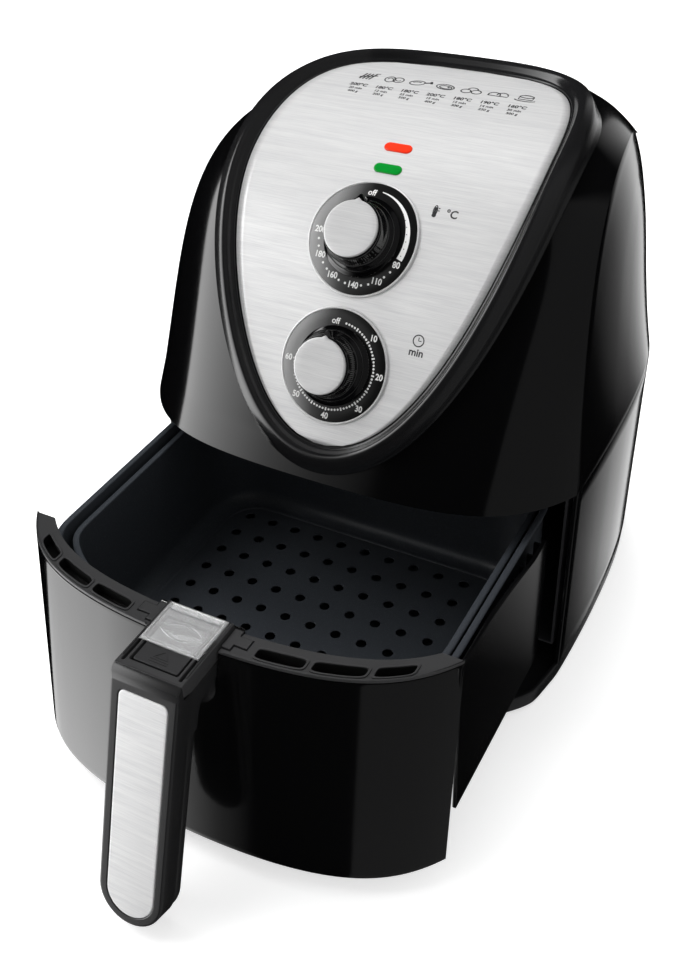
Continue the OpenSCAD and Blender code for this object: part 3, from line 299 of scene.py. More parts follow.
def grid_faces(rows, cols, wrap_rows=False, wrap_cols=False):
    """Quads of a rows x cols grid of points, row by row, closed round where it wraps."""
    i = np.arange(rows if wrap_rows else rows - 1)[:, None]
    j = np.arange(cols if wrap_cols else cols - 1)[None, :]
    down, right = (i + 1) % rows, (j + 1) % cols
    corners = [i * cols + j, i * cols + right, down * cols + right, down * cols + j]
    return np.stack([np.broadcast_to(c, (len(i), j.shape[1])) for c in corners], -1).reshape(-1, 4)


def grid(points, wrap_rows=False, wrap_cols=False):
    """A part, (points, faces), from a grid of points: rows x columns x 3."""
    return points, grid_faces(*points.shape[:2], wrap_rows, wrap_cols).tolist()


def joined(parts):
    """Joins parts, (points, faces) pairs, into one."""
    points, faces, start = [], [], 0
    for corners, corner_faces in parts:
        points.append(np.reshape(corners, (-1, 3)))
        faces += [tuple(i + start for i in face) for face in corner_faces]
        start += len(points[-1])
    return np.concatenate(points), faces


def face_outwards(mesh, centre=None):
    """Merges doubles and turns every face away from the inside, or from a centre (mm)."""
    work = bmesh.new()
    work.from_mesh(mesh)
    bmesh.ops.remove_doubles(work, verts=work.verts, dist=1e-6)
    bmesh.ops.dissolve_degenerate(work, dist=1e-7, edges=work.edges)
    bmesh.ops.recalc_face_normals(work, faces=work.faces)
    if centre is not None:
        middle = Vector(centre) * MM
        outward = sum(f.normal.dot(f.calc_center_median() - middle) * f.calc_area() for f in work.faces)
        if outward < 0:
            bmesh.ops.reverse_faces(work, faces=work.faces)
    work.to_mesh(mesh)
    work.free()


def thicken(item, wall, edge=0.0, inwards=True):
    """Gives a sheet its wall on its inner side and rounds the rim that this makes."""
    solid = item.modifiers.new("wall", "SOLIDIFY")
    solid.thickness = wall * MM
    solid.offset = -1 if inwards else 1
    solid.use_even_offset = True
    if edge:
        bevel = item.modifiers.new("edge", "BEVEL")
        bevel.width = edge * MM
        bevel.segments = 3
        bevel.limit_method = "ANGLE"
        bevel.angle_limit = math.radians(35)
        bevel.use_clamp_overlap = True


def make_piece(name, parts, material, body, slot, node=None, crisp=40, centre=None, wall=None):
    """Makes a piece from parts in millimetres. It is smooth but for edges sharper than
    crisp degrees, faces away from a centre where it is open, and where it is a sheet gets
    a wall, (thickness, edge radius, inwards). It stands for a node of the CAD model."""
    points, faces = joined(parts)
    mesh = bpy.data.meshes.new(name)
    mesh.from_pydata((points * MM).tolist(), [], faces)
    mesh.validate()
    item = bpy.data.objects.new(name, mesh)
    bpy.context.scene.collection.objects.link(item)
    face_outwards(mesh, centre)
    if crisp:
        mesh.polygons.foreach_set("use_smooth", [True] * len(mesh.polygons))
        mesh.set_sharp_from_angle(angle=math.radians(crisp))
    if wall:
        thicken(item, *wall)
    mesh.materials.append(material)
    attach(item, body)
    if node:
        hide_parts(node)


def noise(tree, scale, detail=2.0):
    """Noise on the piece's own coordinates, from 0 to 1."""
    place = add(tree, "TexCoord").outputs["Object"]
    return add(tree, "TexNoise", Vector=place, Scale=scale, Detail=detail).outputs["Fac"]


def between(tree, value, low, high, start=0.0, end=1.0):
    """A value that runs from start to end made to run from low to high."""
    share = add(tree, "MapRange", Value=value, From_Min=start, From_Max=end, To_Min=low, To_Max=high)
    return share.outputs["Result"]


def gloss_black():
    """High-gloss black moulded plastic: a cloudy variation in its gloss, and next to no
    colour of its own."""
    material, tree = new_material("gloss_black", Base_Color=(0.002, 0.002, 0.0022, 1), IOR=1.5)
    set_surface(tree, Roughness=between(tree, noise(tree, 14, 3), 0.07, 0.12))
    return material


GLOSS_BLACK = gloss_black()
across = np.sin(np.linspace(-0.5, 0.5, 121) * math.pi)
along = np.linspace(0, 1, 161)
cover_points = cover(across[None, :], along[:, None])
hem = cover_points[:1].copy()
hem[0, :, :2] += HEM_WIDTH * left_of(np.gradient(hem[0, :, :2], axis=0))
make_piece("front_cover_moulding", [grid(np.concatenate([hem, cover_points]))], GLOSS_BLACK, "housing",
           "gloss_black_plastic", "front_cover", centre=COVER_INSIDE, wall=(SHELL_WALL, MOULDING_EDGE))

# --- Rear housing, upper and lower --------------------------------------------
# Two gloss black mouldings behind the front cover. The upper one is swept back and
# down from the cover's edge; the lower one has upright walls round the drawer's bay.

REAR_Y = 170.0
JAMB_Y = -72.3
CORNER_POWER = 4.6
REAR_TOP_Z = 244.5
REAR_BULGE = 3.5
SEAM_GAP = 0.3
BASE_TOP_Z = 15.5


def sweep_back(edge, rear_z, share, rear_y=REAR_Y):
    """Sweeps edge points (n, 3) back to the middle of the rear. At a share v of the way,
    x shrinks by (1 - v^4.6)^(1/4.6), swells by 14 v (1 - v)^2 and z goes to rear_z by v^0.9."""
    v = share[None, :]
    x, y, z = (edge[:, k : k + 1] for k in range(3))
    corner = (1 - v**CORNER_POWER) ** (1 / CORNER_POWER)
    swell = REAR_BULGE * 4 * v * (1 - v) ** 2 * np.minimum(1, x / 60)
    swept = (x * corner + swell, y + (rear_y - y) * v, z + (rear_z[:, None] - z) * v**0.9)
    return np.stack(np.broadcast_arrays(*swept), -1)


def both_sides(half):
    """A right half, whose last column is at x = 0, and its mirror image as one grid."""
    return np.concatenate([half, half[:, -2::-1] * [-1, 1, 1]], 1)


corner_share = np.sin(np.linspace(0, 0.5, 29)[1:] * math.pi) ** (2 / CORNER_POWER)
rear_share = np.concatenate([np.linspace(0, corner_share[0], 9)[:-1], corner_share])
side_u = np.linspace(0, 1, 81)
top_t = np.linspace(1, 0, 31)[1:]
seam = np.concatenate([cover(1, side_u), cover(top_t, 1)]) + [0, SEAM_GAP, 0]
rise_share = np.concatenate([0.9 * (1 - (1 - side_u) ** 2), 0.9 + 0.1 * (1 - top_t)])
seam_rear_z = SPLIT_Z + (REAR_TOP_Z - SPLIT_Z) * rise_share
lower_z = np.linspace(BASE_TOP_Z + SEAM_GAP, SPLIT_Z - SEAM_GAP, 13)
jamb = np.stack(np.broadcast_arrays(BODY_HALF, JAMB_Y, lower_z), -1)
for node, edge, rear_z, middle_z in (
    ("upper_housing", seam, seam_rear_z, 200),
    ("lower_housing", jamb, lower_z, 90),
):
    shell = grid(both_sides(sweep_back(edge, rear_z, rear_share)))
    make_piece(node + "_moulding", [shell], GLOSS_BLACK, "housing", "gloss_black_plastic", node,
               centre=(0, 60, middle_z), wall=(SHELL_WALL, MOULDING_EDGE))

# --- Raised ring round the control panel --------------------------------------
# A separate gloss black moulding that frames the steel panel: a dark groove next to the
# steel, a fine lip, a round crest, and a crisp outer edge where it sits on the cover.

PANEL_HALF = 92.5
PANEL_U = (0.052, 0.655, 0.9622)
RING_POINTS = 288


def tone(tree, value, low, high, start=0.0, end=1.0):
    """Blends from a colour low to a colour high as a value runs from start to end."""
    ramp = add(tree, "ValToRGB", Fac=value)
    for stop, place, colour in zip(ramp.color_ramp.elements, (start, end), (low, high)):
        stop.position = place
        stop.color = (*colour, 1)
    return ramp.outputs["Color"]


def shade(colour, share):
    """A colour made darker or lighter by a share."""
    return tuple(c * share for c in colour)


def emboss(tree, value, strength, depth):
    """Relief of a value over the whole surface, to a depth in metres."""
    bump = add(tree, "Bump", Height=value, Strength=strength, Distance=depth)
    set_surface(tree, Normal=bump.outputs["Normal"])


def moulded(name, colour, rough, grain=2600, relief=0.15):
    """Moulded plastic or rubber with the fine grain of its mould: tone, gloss and relief."""
    material, tree = new_material(name)
    wear = noise(tree, 18, 4)
    set_surface(tree, Base_Color=tone(tree, wear, shade(colour, 0.85), shade(colour, 1.15)),
                Roughness=between(tree, wear, rough * 0.85, rough * 1.15))
    emboss(tree, noise(tree, grain), relief, 0.00006)
    return material


def outline(a):
    """Panel outline as (x, u) for a from 0 to 4: bottom, right side, top, left side. Each
    quarter is a cubic Bezier, flat at the bottom and the top and upright at the sides."""
    a = np.asarray(a, float) % 4
    low, mid, high = PANEL_U
    right = np.where(a <= 2, a, 4 - a)
    first = bezier((0, low), (PANEL_HALF * 0.675, low), (PANEL_HALF, mid - 0.307), (PANEL_HALF, mid),
                   np.minimum(right, 1))
    second = bezier((PANEL_HALF, mid), (PANEL_HALF, mid + 0.287), (PANEL_HALF * 0.83, high), (0, high),
                    np.maximum(right - 1, 0))
    points = np.where((right <= 1)[..., None], first, second)
    points[..., 0] *= np.where(a <= 2, 1, -1)
    return points


def outline_off(a, d):
    """Outline moved outwards by d millimetres along the bent sheet, as (x, u)."""
    here, run = outline(a), outline(a + 0.01) - outline(a - 0.01)
    u = here[..., 1]
    speed = np.linalg.norm(arch(u + 1e-3) - arch(u - 1e-3), axis=-1) / 2e-3
    run[..., 1] *= speed
    return here - left_of(run) * d / np.stack([np.ones_like(speed), speed], -1)


def on_sheet(x, u, h):
    """Point at x across and u along the bent sheet, h millimetres above its face."""
    x, u, h = np.broadcast_arrays(np.asarray(x, float), np.asarray(u, float), np.asarray(h, float))
    return np.concatenate([x[..., None], arch(u) + arch_out(u) * h[..., None]], -1)


def length_along(points):
    """Length of a line of points from its start to each of them."""
    return np.concatenate([[0], np.cumsum(np.linalg.norm(np.diff(points, axis=0), axis=1))])


def even_steps(count):
    """Values of a that space count points evenly along the outline's length."""
    fine = np.linspace(0, 4, 1601)
    length = length_along(on_sheet(*outline(fine).T, 0))
    return np.interp(np.linspace(0, length[-1], count + 1)[:-1], length, fine)


def ring_surface(a, profile):
    """Sweeps a profile of (distance out, height, share of the cover) round the outline. A
    share of 1 puts the point on the cover under it, 0 over the flat sheet."""
    rows = []
    for d, h, share in profile:
        x, u = outline_off(a, d).T
        on_cover = cover_fall(x, u)
        on_cover[:, 1:] += arch_out(u) * (h - cover_sink(u))
        rows.append(on_sheet(x, u, h) * (1 - share) + on_cover * share)
    return np.stack(rows, 1)


RING_BLACK = moulded("ring_black", (0.009, 0.009, 0.0095), 0.2, 3000, 0.04)
inner_slope = bezier((1.9, 1.2), (3.4, 2.2), (3.9, 5.9), (5.9, 6.35), np.linspace(0, 1, 9))
outer_slope = bezier((6.6, 6.45), (8.6, 6.4), (11.6, 4.6), (13.4, 3.5), np.linspace(0, 1, 12))
ring_groove = [(0.4, -0.9, 0), (0.42, -0.7, 0), (1.0, -0.7, 0), (1.05, 0.7, 0), (1.25, 1.05, 0),
               (1.6, 1.15, 0)]
ring_crest = [(d, h, 0) for d, h in np.concatenate([inner_slope, outer_slope])]
ring_foot = [(14.4, 3.0, 0.3), (15.4, 2.45, 0.65), (16.2, 2.0, 1), (16.7, 1.65, 1), (16.95, 1.2, 1),
             (17.0, 0.6, 1), (16.9, 0.2, 1), (11.0, 0.2, 1), (4.0, 0.2, 1)]
ring = ring_surface(even_steps(RING_POINTS), ring_groove + ring_crest + ring_foot)
make_piece("panel_ring_moulding", [grid(ring, True, True)], RING_BLACK, "housing", "gloss_black_plastic",
           "panel_ring", 50)

# --- Control panel ------------------------------------------------------------
# A sheet of stainless steel bent over the arch, brushed straight across, glued to the
# cover inside the ring. The dials and the two lights stand on it.

PANEL_WALL = 1.0


def streaks(tree, along_axis, fine, long_share):
    """Noise stretched along one axis: fine is its scale across the streaks, and
    long_share the part of that scale left along them."""
    scale = [fine] * 3
    scale[along_axis] = fine * long_share
    stretch = add(tree, "Mapping", Vector=add(tree, "TexCoord").outputs["Object"], Scale=scale)
    grain = add(tree, "TexNoise", Vector=stretch.outputs["Vector"], Scale=1, Detail=4, Roughness=0.6)
    return grain.outputs["Fac"]


def brushed_steel(name, along_axis, bright=0.78):
    """Stainless steel brushed along one axis: hair-fine streaks over broader, slightly
    wavy ones, in its tone, its gloss and its relief."""
    material, tree = new_material(name, Metallic=0.38)
    hairs, waves = streaks(tree, along_axis, 2400, 0.02), streaks(tree, along_axis, 330, 0.06)
    brushing = add(tree, "Mix", Factor=0.45, A=hairs, B=waves).outputs["Result"]
    low, high = shade((0.8, 0.8, 0.81), bright), shade((1, 1, 0.995), bright)
    set_surface(tree, Base_Color=tone(tree, brushing, low, high, 0.36, 0.64),
                Roughness=between(tree, brushing, 0.5, 0.36, 0.3, 0.7))
    emboss(tree, brushing, 0.25, 0.00005)
    return material


BRUSHED_STEEL = brushed_steel("brushed_steel", 0)
panel_u = np.linspace(PANEL_U[0] + 0.0004, PANEL_U[2] - 0.0004, 141)
edge_x, edge_u = outline(np.linspace(0, 2, 2001)).T
panel_x = np.linspace(-1, 1, 33)[None, :] * np.interp(panel_u, edge_u, edge_x)[:, None]
make_piece("steel_panel", [grid(on_sheet(panel_x, panel_u[:, None], 0))], BRUSHED_STEEL, "housing",
           "brushed_steel", "control_panel", centre=(0, 60, 150), wall=(PANEL_WALL,))

# --- Dials --------------------------------------------------------------------
# Two discs bent to the sheet and glued on it, black with a painted reflection that is grey
# at their left and fades to black, each in a fine steel rim. The scales and the figures are
# printed in white ink on them.

TEMP_U, TIMER_U = 0.428, 0.176
DIAL_PROFILE = [(8, 0.03), (34.2, 0.03), (34.2, 1.1), (34.0, 1.2), (28, 1.2), (24, 1.2), (16, 1.2), (8, 1.2)]
RIM_PROFILE = [(33.7, 0.6), (35, 0.03), (35.2, 0.9), (35.1, 1.3), (34.8, 1.6), (34.4, 1.66), (33.9, 1.4),
               (33.7, 1.1)]
PRINT_H = 1.21
DIAL_TEXT = 5.2
TEMP_FIGURES = ("80", "110", "140", "160", "180", "200")
DEGREES_A_MINUTE = 4.43
fine_u = np.linspace(0, 1, 1201)
fine_length = length_along(arch(fine_u))


def up_sheet(u, rise):
    """u of the point that lies a rise in millimetres further up the sheet than u."""
    return np.interp(np.interp(u, fine_u, fine_length) + rise, fine_length, fine_u)


def laid_on_sheet(points, x, u):
    """Lays flat points (across, up, height) on the bent sheet, with (0, 0, 0) at x, u."""
    points = np.asarray(points, float)
    return on_sheet(x + points[..., 0], up_sheet(u, points[..., 1]), points[..., 2])


def turned(profile, count=96):
    """A profile of (radius, height) turned about the height axis: a count x len grid."""
    r, h = np.array(profile, float).T
    a = np.linspace(0, 2 * math.pi, count, endpoint=False)[:, None]
    return np.stack(np.broadcast_arrays(np.sin(a) * r, np.cos(a) * r, h), -1)


def dial_black():
    """Black dial under a satin skin, with a painted reflection in its colour: a grey that fades
    to black from left to right in 30 mm, with a fine grain where it fades."""
    material, tree = new_material("dial_black", Roughness=0.3, Specular_IOR_Level=0.35)
    axes = add(tree, "SeparateXYZ", Vector=add(tree, "TexCoord").outputs["Object"])
    shift = maths(tree, "MULTIPLY", noise(tree, 2500), 0.003)
    across = maths(tree, "ADD", axes.outputs["X"], shift)
    # Painted reflection: grey at the dial's left, fading to black towards its right
    painted_reflection = steps(tree, across, -0.034, 0.01, (-0.034, 0.26), (-0.022, 0.23), (-0.014, 0.12),
                 (-0.007, 0.035), (-0.001, 0.008), (0.01, 0.006))
    set_surface(tree, Base_Color=painted_reflection)
    return material


DIAL_BLACK = dial_black()
DIAL_STEEL = brushed_steel("dial_rim_steel", 2, 0.8)
for name, u in (("temp_dial", TEMP_U), ("timer_dial", TIMER_U)):
    for end, profile, material in (("_disc", DIAL_PROFILE, DIAL_BLACK), ("_rim", RIM_PROFILE, DIAL_STEEL)):
        dial = grid(laid_on_sheet(turned(profile, 128), 0, u), True, True)
        make_piece(name + end, [dial], material, "housing", "gloss_black_plastic", name, 30)


def lettering(text, size, narrow=1.0, bold=0.1):
    """A part of flat raised lettering, centred on (0, 0)."""
    letters = bpy.data.curves.new("lettering", "FONT")
    letters.body, letters.size, letters.extrude, letters.resolution_u = text, size, 0.03, 3
    letters.offset = bold
    letters.align_x, letters.align_y = "CENTER", "CENTER"
    item = bpy.data.objects.new("lettering", letters)
    mesh = bpy.data.meshes.new_from_object(item)
    corners = np.empty(len(mesh.vertices) * 3)
    mesh.vertices.foreach_get("co", corners)
    faces = [tuple(f.vertices) for f in mesh.polygons]
    bpy.data.objects.remove(item)
    bpy.data.meshes.remove(mesh)
    return corners.reshape(-1, 3) * [narrow, 1, 1], faces


def lifted(loop, z):
    """Flat points put at a height."""
    return np.insert(np.asarray(loop, float), 2, z, 1)


def capped(rows, low=True, high=True):
    """A part from closed rows of points, one above another, with a face over each end."""
    count, around = rows.shape[:2]
    faces = grid_faces(count, around, False, True).tolist()
    if low:
        faces.append(tuple(range(around))[::-1])
    if high:
        faces.append(tuple(range((count - 1) * around, count * around)))
    return rows.reshape(-1, 3), faces


def stroke(path, width, closed=False, height=0.06):
    """A printed line: a strip of a width (a number or one for each point) along a path."""
    path = np.asarray(path, float)
    run = np.roll(path, -1, 0) - np.roll(path, 1, 0) if closed else np.gradient(path, axis=0)
    side = left_of(run) * np.reshape(np.broadcast_to(width, len(path)), (-1, 1)) / 2
    rows = np.stack([lifted(path + side, 0), lifted(path - side, 0),
                     lifted(path - side, height), lifted(path + side, height)], 1)
    return (rows.reshape(-1, 3), grid_faces(len(path), 4, True, True).tolist()) if closed else capped(rows)


def circle_loop(x, y, r, sides=24):
    """Corners of a circle's outline, which runs to the left."""
    a = np.linspace(0, 2 * math.pi, sides, endpoint=False)
    return np.stack([x + r * np.cos(a), y + r * np.sin(a)], -1)


def spot(x, y, r, sides=12, height=0.06):
    """A printed dot: a low prism of a radius at (x, y)."""
    loop = circle_loop(x, y, r, sides)
    return capped(np.stack([lifted(loop, 0), lifted(loop, height)]))


def moved(part, x, y, z=0.0):
    """A part moved by x, y, z."""
    return part[0] + [x, y, z], part[1]


def clock(angle, r):
    """(across, up) of the point at an angle clockwise from the top and a radius."""
    angle = np.radians(angle)
    return np.stack([np.sin(angle) * r, np.cos(angle) * r], -1)


def ink(name, colour):
    """Screen-printed ink: one flat tone, broken very slightly by its fine grain."""
    material, tree = new_material(name, Roughness=0.5)
    set_surface(tree, Base_Color=tone(tree, noise(tree, 3000), shade(colour, 0.86), colour))
    return material


WHITE_INK = ink("white_ink", (0.86, 0.86, 0.85))
BLACK_INK = ink("black_ink", (0.02, 0.02, 0.022))


def printed(name, marks, x, u, material, slot, height=0.0):
    """A printed piece on the sheet from parts laid with (0, 0) at x, u and a height."""
    points, faces = joined(marks)
    laid = laid_on_sheet(points + [0, 0, height], x, u)
    make_piece(name, [(laid, faces)], material, "housing", slot, crisp=None)


# Temperature: off at the top, a white crescent down to 80, then figures with dots between
crescent = np.linspace(7, 108, 40)
temp_marks = [moved(lettering("off", DIAL_TEXT, 0.95), *clock(-6, 27.5)),
              stroke(clock(crescent, np.linspace(28.9, 27.6, 40)), np.linspace(0.5, 3.9, 40))]
for index, figure in enumerate(TEMP_FIGURES):
    angle = 115 + 31 * index
    temp_marks.append(moved(lettering(figure, DIAL_TEXT, 0.9, 0.15), *clock(angle, 28)))
    if index:
        temp_marks += [spot(*clock(angle + step, 28), 0.72) for step in (-20.4, -11.0)]
printed("temp_scale", temp_marks, 0, TEMP_U, WHITE_INK, "gloss_black_plastic", PRINT_H)
crescent_dots = [spot(*clock(angle, 27.4), 0.3) for angle in range(40, 108, 9)]
printed("temp_crescent_dots", crescent_dots, 0, TEMP_U, BLACK_INK, "gloss_black_plastic", PRINT_H + 0.05)

# Timer: off at the top, a dot for each minute, bars at the fives and figures at the tens
timer_marks = [moved(lettering("off", DIAL_TEXT, 0.95), *clock(-9, 26.6))]
for minute in range(1, 61):
    angle = DEGREES_A_MINUTE * minute + 2
    if minute % 5:
        timer_marks.append(spot(*clock(angle, 26.2), 0.7, 10))
    else:
        timer_marks.append(stroke(clock(angle, np.array([25.2, 27.2])), 1.0))
    if minute % 10 == 0:
        timer_marks.append(moved(lettering(str(minute), DIAL_TEXT, 0.9, 0.15), *clock(angle, 30.4)))
printed("timer_scale", timer_marks, 0, TIMER_U, WHITE_INK, "gloss_black_plastic", PRINT_H)

# --- Printing on the steel panel ----------------------------------------------
# Black screen print straight on the steel: a thermometer, a clock, the unit next to each,
# seven small pictures of food along the top and figures for each of them.

LINE = 0.62
PICTURE_SCALE = 1.32
PICTURE_RISE = 16.6
PICTURE_PITCH = 17.85
PICTURE_X = -52.6
PICTURE_U = 0.842
# Degrees, minutes and grams for each food
FIGURES = ((200, 20, 400), (180, 12, 200), (180, 25, 500), (200, 15, 400), (180, 12, 300), (190, 14, 250),
           (160, 30, 500))


def oval(x, y, a, b, turn=0.0, start=0.0, end=2 * math.pi, count=24):
    """Points of an ellipse or an arc of it about (x, y), turned by an angle."""
    t = np.linspace(start, end, count, endpoint=end - start < 6.2)
    px, py = a * np.cos(t), b * np.sin(t)
    c, w = math.cos(turn), math.sin(turn)
    return np.stack([x + px * c - py * w, y + px * w + py * c], -1)


def ring_line(*shape):
    """A printed ellipse."""
    return stroke(oval(*shape), LINE, True)


def bow_line(*shape):
    """A printed arc of an ellipse."""
    return stroke(oval(*shape), LINE)


thermometer = [spot(0, -2.4, 1.35, 16), stroke([(0, -2.4), (0, 2.6)], 1.5), ring_line(0, 0.4, 1.15, 3.2),
               stroke([(1.6, 2.2), (2.6, 2.2)], LINE), stroke([(1.6, 0.6), (2.6, 0.6)], LINE),
               moved(lettering("°C", 6.8, 1, 0.16), 10.5, -0.3)]
printed("temp_picture", thermometer, 38.4, 0.521, BLACK_INK, "brushed_steel")
clock_face = [stroke(oval(0, 0, 3.3, 3.3), 0.7, True), stroke([(0, 2.0), (0, 0), (1.8, 0)], 0.6),
              moved(lettering("min", 6.2, 1, 0.16), 0, -7.0)]
printed("timer_picture", clock_face, 49.3, 0.252, BLACK_INK, "brushed_steel")

chips = [stroke([(-4 + k, -3.2), (-2.4 + k, 3.0)], 0.9) for k in (0.2, 1.9, 3.6, 5.3)] + [
    stroke([(-4.4, -1.4), (4.2, 1.6)], 0.9), stroke([(2.4, 3.3), (4.6, 3.9)], LINE)]
nuggets = [ring_line(-2, 0, 2.6, 2.9), ring_line(2.3, 0.3, 2.7, 2.6),
           bow_line(-2, 0.2, 1.2, 1.3, 0, 0.6, 3.4, 10), bow_line(2.3, 0.4, 1.2, 1.1, 0, 3.6, 6.1, 10)]
drumstick = [ring_line(-1.2, 0.2, 3.8, 2.3, 0.25), stroke([(2.3, 0.9), (5.0, 1.9)], 1.0),
             spot(5.3, 2.5, 0.75, 10), spot(5.7, 1.5, 0.75, 10),
             bow_line(-1.4, 0.1, 2.2, 1.1, 0.25, 0.3, 2.6, 12)]
steak = [ring_line(0, 0, 4.6, 2.6, -0.12), ring_line(0.3, -0.3, 3.2, 1.5, -0.12), spot(1.7, -0.2, 0.6, 10)]
balls = [ring_line(-2.6, -1, 2.4, 1.9), ring_line(2.6, -0.9, 2.4, 1.9),
         bow_line(0.2, 1.3, 2.4, 1.8, 0, -0.2, 3.4, 14)]
pastries = [bow_line(-1.9, -0.9, 2.9, 2.4, 0, -0.3, 3.4, 14), stroke([(-5, -1.8), (5, -1.8)], LINE),
            bow_line(2.1, -1.2, 2.8, 3.2, 0, 0.1, 3.0, 14)]
cake = [ring_line(0, 1.4, 3.4, 1.3), stroke([(-3.4, 1.4), (-3.4, -1.6), (3.4, -1.6), (3.4, 1.4)], LINE),
        bow_line(0, -2.2, 4.8, 1.1, 0, 2.9, 6.5, 16), stroke([(-1.6, 2.9), (1.4, 2.9)], LINE)]
foods = (chips, nuggets, drumstick, steak, balls, pastries, cake)
for index, (food, (degrees, minutes, grams)) in enumerate(zip(foods, FIGURES)):
    points, faces = joined(food)
    column = [(points * [PICTURE_SCALE, PICTURE_SCALE, 1] + [0, PICTURE_RISE, 0], faces),
              moved(lettering(f"{degrees}°C", 4.7, 1, 0.17), -1.2, 4.2),
              moved(lettering(f"{minutes} min", 3.3), -1.2, -0.5),
              moved(lettering(f"{grams} g", 3.3), -1.2, -4.5)]
    printed(f"food_picture_{index + 1}", column, PICTURE_X + PICTURE_PITCH * index, PICTURE_U, BLACK_INK,
            "brushed_steel")

# --- Pilot lights -------------------------------------------------------------
# A red and a green lens of clear-dyed plastic pushed through the steel from behind, each
# a low pill with a rounded edge over a small lamp.

LENS_SIZE = (18, 6.5)
LENS_ROWS = [(0, -1.6), (0, 0.35), (0.12, 0.62), (0.4, 0.82), (0.9, 0.9), (2.0, 0.93), (3.25, 0.94)]
LENS_GLOW = 0.18


def pill(length, width, inset, count=16):
    """Outline of a pill shape made smaller by an inset: two half circles and two lines."""
    r = width / 2 - inset
    a = np.linspace(-math.pi / 2, math.pi / 2, count)
    right = np.stack([(length - width) / 2 + r * np.cos(a), r * np.sin(a)], -1)
    return np.concatenate([right, -right])


def lens_plastic(name, colour):
    """Dyed clear plastic with fine ribs in its tone, lit a little from behind."""
    material, tree = new_material(name, Roughness=0.15, Subsurface_Weight=0.2, Subsurface_Radius=(0.002,) * 3,
                                  Emission_Color=(*colour, 1), Emission_Strength=LENS_GLOW)
    ribs = add(tree, "TexWave", Vector=add(tree, "TexCoord").outputs["Object"], Scale=900).outputs["Fac"]
    set_surface(tree, Base_Color=tone(tree, ribs, shade(colour, 0.85), colour))
    return material


for name, u, colour, slot in (
    ("power_lens", 0.669, (0.74, 0.03, 0.005), "red_lens"),
    ("heat_lens", 0.606, (0.0, 0.23, 0.02), "green_lens"),
):
    rows = np.stack([lifted(pill(*LENS_SIZE, inset), h) for inset, h in LENS_ROWS])
    points, faces = capped(rows, high=False)
    make_piece(name + "_cap", [(laid_on_sheet(points, 0, u), faces)], lens_plastic(slot, colour), "housing",
               slot, name, 50)

# --- Knobs --------------------------------------------------------------------
# Gloss black turned-looking mouldings with a wide foot, a stepped neck and a pointer at
# the top. A disc of brushed steel is glued into the face of each, on the control's shaft.

KNOB_PROFILE = [
    (3.05, 3.6), (7, 3.6), (7, 1.7), (23.0, 1.7), (23.7, 1.95), (24, 2.6), (23.9, 3.1), (23.4, 3.5),
    (22.6, 3.9), (21.6, 4.5), (21.2, 5.1), (21.0, 5.7), (20.5, 6.2), (19.7, 6.8), (19.0, 7.8), (18.5, 9.4),
    (18.2, 12.0), (17.9, 16.0), (17.75, 18.2), (17.6, 18.8), (17.25, 19.15), (16.95, 19.18), (16.85, 19.0),
    (16.8, 18.6), (12, 18.6), (3.05, 18.6),
]
CAP_PROFILE = [
    (0, 18.65), (16.4, 18.65), (16.65, 18.9), (16.7, 19.9), (16.6, 20.25), (16.3, 20.45), (15.8, 20.5),
    (12, 20.42), (6, 20.36), (0, 20.34),
]
POINTER_PLAN = [(-3.6, 16.4), (-3.0, 17.6), (-0.8, 20.7), (-0.3, 21.05), (0.3, 21.05), (0.8, 20.7),
                (3.0, 17.6), (3.6, 16.4)]
POINTER_ROWS = [(0.35, 4.9), (0.0, 5.4), (0.0, 17.9), (0.12, 18.4), (0.45, 18.75)]


def at_panel(points, u):
    """Places points whose height axis stands on the sheet at x = 0, u, flat and not bent."""
    centre, out = arch(u), arch_out(u)
    x, up, h = np.moveaxis(np.asarray(points, float), -1, 0)
    return np.stack([x, centre[0] + out[1] * up + out[0] * h, centre[1] - out[0] * up + out[1] * h], -1)


def pointer():
    """The pointer: its plan stacked up the rows, drawn in a little at its top and foot."""
    middle = np.array([0, 17.6])
    rows = [lifted(middle + (POINTER_PLAN - middle) * (1 - inset / 4), h) for inset, h in POINTER_ROWS]
    return capped(np.stack(rows))


def tipped(points):
    """Draws a disc out to a tip under the pointer: radii over 15 mm grow by a share of
    0.085 (1 - a / 0.13), with a the angle from the top."""
    radius = np.hypot(points[..., 0], points[..., 1])
    angle = np.abs(np.arctan2(points[..., 0], points[..., 1]))
    grow = 1 + 0.085 * np.clip(1 - angle / 0.13, 0, 1) * (radius > 15)
    return points * np.stack([grow, grow, np.ones_like(grow)], -1)


CAP_STEEL = brushed_steel("cap_steel", 0, 0.62)
for control, u in (("temp", TEMP_U), ("timer", TIMER_U)):
    points, faces = joined([grid(turned(KNOB_PROFILE), True, True), pointer()])
    make_piece(control + "_knob_body", [(at_panel(points, u), faces)], GLOSS_BLACK, control + "_control",
               "gloss_black_plastic", control + "_knob", 32)
    make_piece(control + "_knob_face", [grid(at_panel(tipped(turned(CAP_PROFILE, 192)), u), True)], CAP_STEEL,
               control + "_control", "brushed_steel", control + "_knob_cap", 32)

# --- Dial spindles, knob shafts and the parts behind the panel ----------------
# The thermostat and the timer sit behind the cover on the panel's back. Their spindles
# come out through the dials into the knobs.


def dress(material, *nodes):
    """Gives CAD nodes a material in place of the plain colour they come with."""
    for node in nodes:
        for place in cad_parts[node].material_slots:
            place.material = material


def metal(name, colour, rough, grain, relief=0.2):
    """Plain metal: cloudy tone and gloss at a grain size, with a faint relief of it."""
    material, tree = new_material(name, Metallic=1)
    cloud = noise(tree, grain, 6)
    set_surface(tree, Base_Color=tone(tree, cloud, shade(colour, 0.7), colour),
                Roughness=between(tree, cloud, rough * 1.3, rough * 0.75))
    emboss(tree, cloud, relief, 0.0001)
    return material


